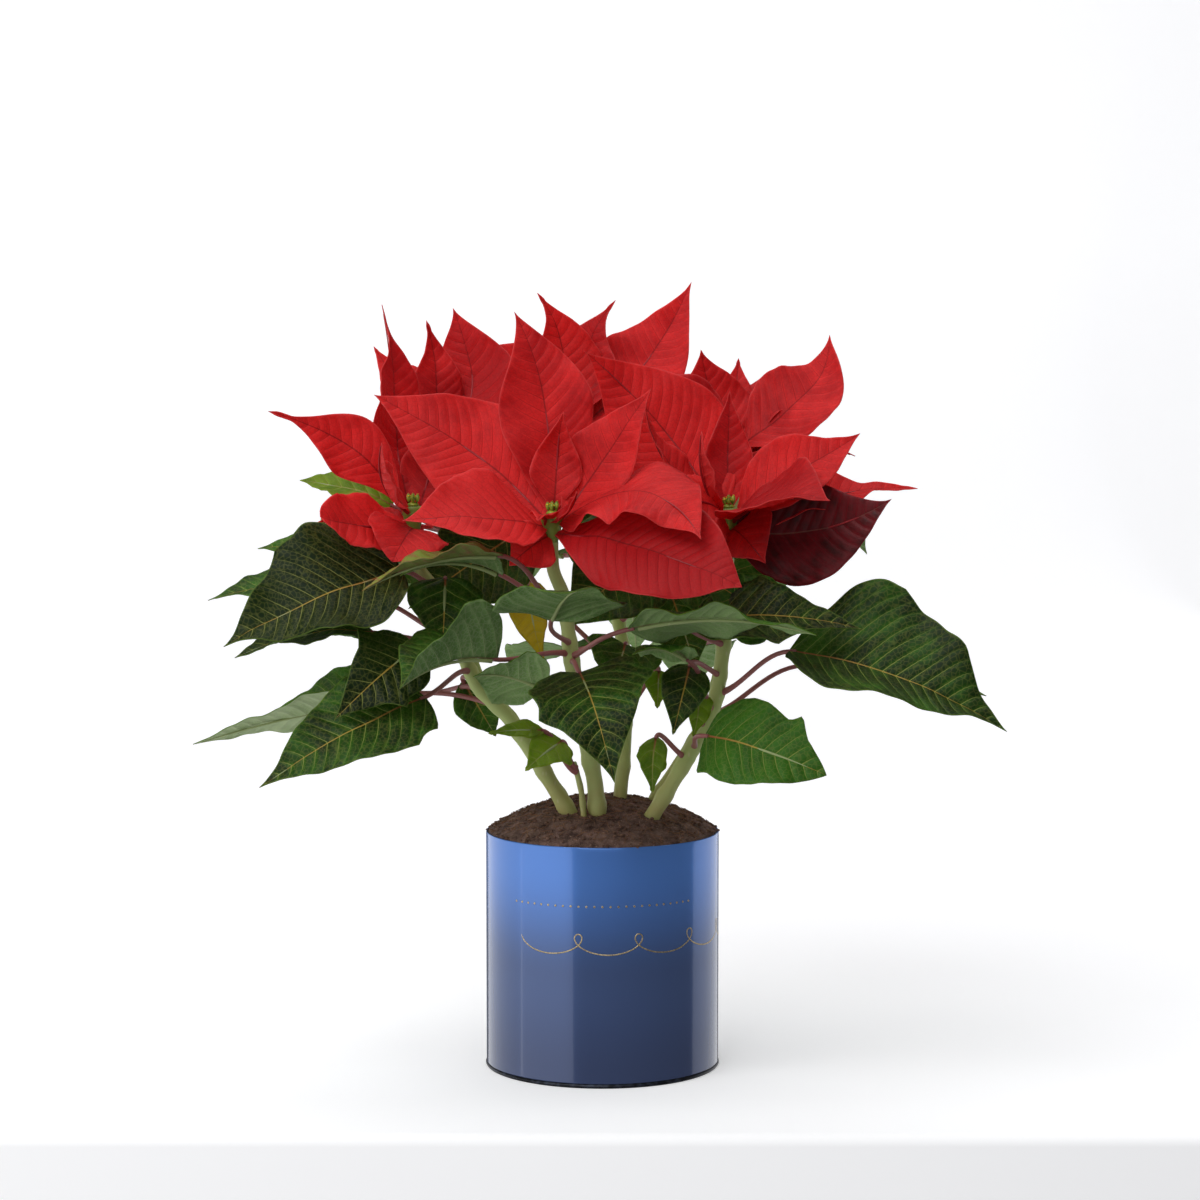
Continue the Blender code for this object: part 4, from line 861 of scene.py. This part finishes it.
def buildPot(lacquer, tin, foil):
    bm = bmesh.new()
    inner = pot["radius"] - pot["wall"]
    foot = pot["radius"] + pot["footProud"]
    rim = pot["rimRound"]
    bead = pot["footHeight"] / 2
    profile = [(0, 0), (foot - bead * 0.9, 0)]
    profile += arc((foot - bead * 0.9, bead), bead * 0.9, -60, 70, 8)
    # two rings close to the roll, and one below the rim, keep the wall's shading straight
    profile += [(pot["radius"], pot["footHeight"] + lift) for lift in (0.1, 0.5)]
    profile.append((pot["radius"], pot["height"] - 3.1))
    profile += arc((pot["radius"] - rim, pot["height"] - rim), rim, 0, 90, 4)
    profile += arc((inner + rim, pot["height"] - rim), rim, 90, 180, 4)
    profile += [(inner, pot["wall"]), (0, pot["wall"])]
    turnedShape(bm, profile, pot["sides"])
    bmesh.ops.recalc_face_normals(bm, faces=bm.faces)
    # the rolled foot takes the near-black skin, painted shade for the dark line under the pot
    for face in bm.faces:
        face.material_index = 1 if face.calc_center_median().z < pot["footHeight"] + 0.05 else 0
    shell = objectFrom(bm, lacquer, tin)
    finishPiece(shell, "pot_shell", "pot_lacquer", "pot")
    shell.data.set_sharp_from_angle(angle=math.radians(50))

    seam = bmesh.new()
    strip = Matrix.Diagonal((pot["seamWidth"], 1.0, pot["height"] - pot["seamShort"], 1))
    bmesh.ops.create_cube(seam, size=1.0, matrix=strip)
    bmesh.ops.bevel(seam, geom=seam.edges[:], offset=0.25, offset_type="OFFSET", affect="EDGES", segments=3,
                    profile=0.5, material=-1)
    bmesh.ops.subdivide_edges(seam, edges=[edge for edge in seam.edges if edge.calc_length() > 3
                                           and abs((edge.verts[0].co - edge.verts[1].co).z) < 1], cuts=5)
    for vert in seam.verts:
        out = pot["radius"] - 0.5 + pot["seamProud"] + vert.co.y
        turn = vert.co.x / pot["radius"]
        vert.co = (out * math.sin(turn), out * math.cos(turn), vert.co.z + pot["height"] / 2)
    bmesh.ops.recalc_face_normals(seam, faces=seam.faces)
    finishPiece(objectFrom(seam, lacquer), "pot_lock_seam", "pot_lacquer")
    buildOrnament(foil)


# Ornament: a gold line that loops at even steps round the pot, and a row of fine dots above it
ornament = dict(height=76.0, rise=5.4, pitch=32.0, loopWide=8.4, startTurn=-41.0, loops=7, lineRadius=0.55,
                stepsPerLoop=40, dotHeight=96.0, dotPitch=4.2, dots=25, dotRadius=0.62, proud=0.13)


def onPot(sideways, height, depth):  # sideways runs round the pot from the middle of the front, to the right
    turn = sideways / pot["radius"]
    out = pot["radius"] + depth
    return Vector((out * math.sin(turn), -out * math.cos(turn), height))


def buildOrnament(foil):
    thing = newCurve(2, foil)
    line = []
    start = math.radians(ornament["startTurn"]) * pot["radius"]
    for k in range(ornament["loops"] * ornament["stepsPerLoop"] + 1):
        turn = 2 * math.pi * k / ornament["stepsPerLoop"]
        sideways = start + ornament["pitch"] * turn / (2 * math.pi) - ornament["loopWide"] * math.sin(turn)
        height = ornament["height"] + ornament["rise"] * math.cos(turn)
        line.append(onPot(sideways, height, ornament["proud"] - ornament["lineRadius"]))
    ends = [min(1.0, 0.25 + min(k, len(line) - 1 - k) / 12) for k in range(len(line))]
    addSpline(thing.data, line, [ornament["lineRadius"] * share for share in ends], 0)
    finishPiece(applied(thing), "pot_looped_line", "pot_lacquer")
    bm = bmesh.new()
    for k in range(ornament["dots"]):
        sideways = (k - (ornament["dots"] - 1) / 2) * ornament["dotPitch"]
        place = onPot(sideways, ornament["dotHeight"], 0.0)
        facing = Vector((place.x, place.y, 0)).to_track_quat("Z", "Y").to_matrix().to_4x4()
        shape = Matrix.Diagonal((1, 1, ornament["proud"] / ornament["dotRadius"], 1))
        bmesh.ops.create_uvsphere(bm, u_segments=12, v_segments=6, radius=ornament["dotRadius"],
                                  matrix=Matrix.Translation(place) @ facing @ shape)
    finishPiece(objectFrom(bm, foil), "pot_dots", "pot_lacquer")


# Peat: heaped and crumbly, with loose crumbs and fibres on top
peat = dict(gap=0.3, heap=17.0, steep=2.4, grain=9.0, rough=1.1, sides=150, rings=44, fineRough=0.8,
            crumbs=1500, crumbLeast=0.35, crumbMore=1.1, wobble=0.22,
            fibres=420, fibreRadii=(0.1, 0.16, 0.17, 0.14, 0.08))


def heapHeight(x, y):
    inner = pot["radius"] - pot["wall"] - peat["gap"]
    out = min(1.0, math.hypot(x, y) / inner)
    grain = noise.noise(Vector((x, y, 3.0)) / peat["grain"]) * peat["rough"] * (1 - out ** 4)
    fine = noise.fractal(Vector((x, y, 7.0)) / 3.2, 0.8, 2.1, 4) * peat["fineRough"]
    return pot["height"] + peat["heap"] * (1 - out ** peat["steep"]) + grain + peat["gap"] + fine


def buildPeat(skin, crumbSkin, fibreSkin):
    inner = pot["radius"] - pot["wall"] - peat["gap"]
    floor = pot["wall"] + peat["gap"]
    bm = bmesh.new()
    profile = [(0, floor), (inner, floor), (inner, pot["height"] - 4)]
    profile += [(inner * (1 - k / peat["rings"]), pot["height"]) for k in range(peat["rings"] + 1)]
    turnedShape(bm, profile, peat["sides"])
    for vert in bm.verts:
        if vert.co.z > pot["height"] - 0.01:
            vert.co.z = heapHeight(vert.co.x, vert.co.y)
    bmesh.ops.recalc_face_normals(bm, faces=bm.faces)
    finishPiece(objectFrom(bm, skin), "peat_ball", "peat", "soil")

    draw = random.Random(5)
    bm = bmesh.new()
    for k in range(peat["crumbs"]):
        out = (inner + 0.9) * math.sqrt(draw.random())
        turn = draw.uniform(0, 2 * math.pi)
        x, y = out * math.cos(turn), out * math.sin(turn)
        size = peat["crumbLeast"] + peat["crumbMore"] * draw.random() ** 3
        shape = Matrix.Diagonal((size * draw.uniform(0.8, 1.5), size, size * draw.uniform(0.5, 0.9), 1))
        spin = Matrix.Rotation(draw.uniform(0, 6.28), 4, "Z")
        spin = spin @ Matrix.Rotation(draw.uniform(-0.6, 0.6), 4, "X")
        where = Matrix.Translation((x, y, heapHeight(x, y) + size * 0.2))
        bmesh.ops.create_icosphere(bm, subdivisions=1, radius=1.0, matrix=where @ spin @ shape)
    noise.seed_set(5)  # noise_vector starts from the clock without it, and each run would differ
    for vert in bm.verts:
        vert.co += noise.noise_vector(vert.co * 1.3) * peat["wobble"]
    finishPiece(objectFrom(bm, crumbSkin), "peat_crumbs", "peat")
    thing = newCurve(0, fibreSkin)
    for k in range(peat["fibres"]):
        out = (inner - 1.5) * math.sqrt(draw.random())
        turn = draw.uniform(0, 2 * math.pi)
        heading = draw.uniform(0, 2 * math.pi)
        place = Vector((out * math.cos(turn), out * math.sin(turn), 0))
        line = []
        for _ in peat["fibreRadii"]:
            height = heapHeight(place.x, place.y) + 0.25 + 0.5 * draw.random()
            line.append(Vector((place.x, place.y, height)))
            heading += draw.uniform(-0.5, 0.5)
            place += Vector((math.cos(heading), math.sin(heading), 0)) * draw.uniform(0.8, 2.2)
            if place.length > inner:
                place *= inner / place.length
        addSpline(thing.data, line, peat["fibreRadii"], 0)
    finishPiece(applied(thing), "peat_fibres", "peat")


def buildPlant():
    # a kind's number is the place of its upper skin in the list, and its lower skin comes next
    leafKinds = {"young": 2, "yellow": 4, "fresh": 6, "sunlit": 8}
    leafSkins = [bladeSkin(skin, look) for skin, look in (
        ("leafUpperSkin", leafTop), ("leafUnderSkin", leafUnder),
        ("youngLeafUpper", youngTop), ("youngLeafUnder", youngUnder),
        ("yellowedLeafUpper", yellowTop), ("yellowedLeafUnder", yellowUnder),
        ("freshLeafUpper", freshTop), ("freshLeafUnder", freshUnder),
        ("sunlitLeafUpper", sunlitTop), ("sunlitLeafUnder", sunlitUnder))]
    bractSkins = [bladeSkin(skin, look) for skin, look in (
        ("bractUpperSkin", bractTop), ("bractUnderSkin", bractUnder),
        ("duskyBractUpper", duskTop), ("duskyBractUnder", duskUnder))]
    bark = stalkSkin("greenStemBark", "#ad9b60", "#a8b56e", 128, 185, 0.55, 3.4, "#c0bd90")
    petioleSkin = stalkSkin("leafStalkSkin", "#8f5350", "#955c58", 120, 300, 0.45, 5.0, "#a0786e")
    ribSkin = stalkSkin("leafRibSkin", "#8d9a62", "#98a56c", 120, 300, 0.5, 4.0, "#b0b884")
    hubSkin = stalkSkin("receptacleSkin", "#5f7428", "#7a9038", 250, 350, 0.5, 3.0, "#97a85a")
    bractRibSkin = stalkSkin("bractRibSkin", "#86121a", "#a01a20", 250, 400, 0.5, 4.0, "#b03034")
    cupSkin = flowerSkin("flowerCupSkin", "#5d7a22", "#9fb23c", 0.4, 0.2)
    glandSkin = flowerSkin("nectarGlandSkin", "#c9a012", "#e8cf3a", 0.25, 0.2)
    stamenSkin = flowerSkin("stamenSkin", "#a5121c", "#d8b23a", 0.5)
    order = 0
    for name in hubs:
        bractBlades = [bractBlade(name, entry, order + k) for k, entry in enumerate(bracts[name])]
        order += len(bractBlades)
        sheet = bladeSheet(bractBlades, bractSkins, {"dusk": 2})
        finishPiece(sheet, "bracts_" + name, "bract_red", "bloom_" + name)
        finishPiece(growHub(name, bractBlades, [hubSkin, bractRibSkin]), "receptacle_" + name, "bract_red",
                    "bloom_" + name)
    print("bracts grown:", order)
    for name, stem in stems.items():
        leafBlades = [setBlade(entry, order + k, leafForm) for k, entry in enumerate(leaves[name])]
        order += len(leafBlades)
        sheet = bladeSheet(leafBlades, leafSkins, leafKinds)
        finishPiece(sheet, "leaves_" + name, "leaf_green", "leafy_stem_" + name)
        finishPiece(growStem(name, stem, leafBlades, [bark, petioleSkin, ribSkin]), "stalks_" + name,
                    "leaf_green", "leafy_stem_" + name)
    print("leaves grown, blades in all:", order)
    for number, name in enumerate(hubs):
        finishPiece(growFlowers(number, name, [cupSkin, glandSkin, stamenSkin]), "flowers_" + name,
                    "cyathium", "cyathia_" + name)
    print("flowers grown")


# Stage: a pale table top that sweeps up behind and drops away close before the pot
stage = dict(paper="#dcdcdd", glow=0.54, behind=1.5, front=0.16, side=4.0, bend=0.5, high=3.2, edge=0.006,
             drop=1.2, steps=16)  # metres


def buildStage():
    material, add = newMaterial("stagePaper")
    add("OutputMaterial", {0: add("BsdfPrincipled", {
        "Base Color": stage["paper"], "Roughness": 0.75, "Emission Color": stage["paper"],
        "Emission Strength": stage["glow"]})})
    bm = bmesh.new()
    line = [(-stage["front"], -stage["drop"])]
    rounded = arc((stage["edge"], 0), stage["edge"], 180, 90, 6)
    line += [(y - stage["front"], z - stage["edge"]) for y, z in rounded]
    line.append((stage["behind"], 0.0))
    for k in range(1, stage["steps"] + 1):
        angle = math.pi / 2 * k / stage["steps"]
        back, rise = math.sin(angle), 1 - math.cos(angle)
        line.append((stage["behind"] + stage["bend"] * back, stage["bend"] * rise))
    line.append((stage["behind"] + stage["bend"], stage["high"]))
    row = [bm.verts.new((-stage["side"], y, z)) for y, z in line]
    edges = [bm.edges.new(pair) for pair in zip(row, row[1:])]
    made = bmesh.ops.extrude_edge_only(bm, edges=edges)["geom"]
    bmesh.ops.translate(bm, verts=[part for part in made if isinstance(part, bmesh.types.BMVert)],
                        vec=(2 * stage["side"], 0, 0))
    bmesh.ops.recalc_face_normals(bm, faces=bm.faces)
    sweep = objectFrom(bm, material)
    sweep.name = "stage_sweep"
    sweep.data.shade_smooth()
    sweep.visible_glossy = False  # the lacquer mirrors a dark room, as in the photograph, and no table

    world = bpy.data.worlds.new("studio")
    bpy.context.scene.world = world
    world.use_nodes = True
    background = world.node_tree.nodes["Background"]
    background.inputs["Color"].default_value = linearColour("#f4f7ff")
    background.inputs["Strength"].default_value = lights["room"]


# Lights: a soft key from high at the front left, fills from above and from the front, broad low panels
# whose edges and glow the lacquer mirrors, and a wash on the wall
lights = dict(
    room=0.14, plantMiddle=(0, 0, 0.25), wallMiddle=(0, 1.6, 0.9),
    boxes=[  # name, place and size in metres, watts: all but the last face the middle of the plant
        ("key_softbox", (-0.8, -1.15, 1.8), (1.6, 1.2), 27.0),
        ("top_softbox", (0.0, 0.3, 1.9), (2.0, 1.4), 10.0),
        ("front_fill", (-0.1, -1.9, 0.6), (1.4, 0.9), 5.0),
        ("front_left_panel", (-1.32, -0.84, -0.1), (1.7, 1.2), 8.5),
        ("left_panel", (-1.39, 0.8, -0.1), (2.2, 1.2), 9.5),
        ("right_panel", (1.23, 1.03, -0.1), (1.85, 1.2), 7.0),
        ("wall_light", (0.0, 0.7, 2.4), (3.0, 0.7), 12.0),
    ])


def addLights():
    for name, place, size, watts in lights["boxes"]:
        data = bpy.data.lights.new(name, "AREA")
        data.shape = "RECTANGLE"
        data.size, data.size_y = size
        data.energy = watts
        lamp = bpy.data.objects.new(name, data)
        bpy.context.scene.collection.objects.link(lamp)
        lamp.location = place
        aim = lights["wallMiddle" if name == "wall_light" else "plantMiddle"]
        lamp.rotation_euler = (Vector(aim) - Vector(place)).to_track_quat("-Z", "Y").to_euler()


# Camera: where the photograph was taken from, a little above the plant's middle
view = dict(place=(-0.0013, -1.74, 0.397), pitch=4.8, lens=98.0)


def addCamera():
    data = bpy.data.cameras.new("camera")
    data.lens = view["lens"]
    camera = bpy.data.objects.new("camera", data)
    bpy.context.scene.collection.objects.link(camera)
    camera.location = view["place"]
    camera.rotation_euler = (math.radians(90 - view["pitch"]), 0, 0)
    bpy.context.scene.camera = camera
    bpy.context.scene.view_settings.view_transform = "Standard"


addCamera()
buildStage()
addLights()
buildPot(lacqueredTin(), footShadeTin(), goldFoil())
print("pot built")
buildPeat(peatSkin("peatGround", "#3e2d28", "#84695f", "#a88c7e"),
          peatSkin("peatCrumb", "#422c25", "#876857", "#b0907c"),
          peatSkin("peatFibre", "#6f4c38", "#8f6a4e", "#aa8468"))
print("peat built")
buildPlant()
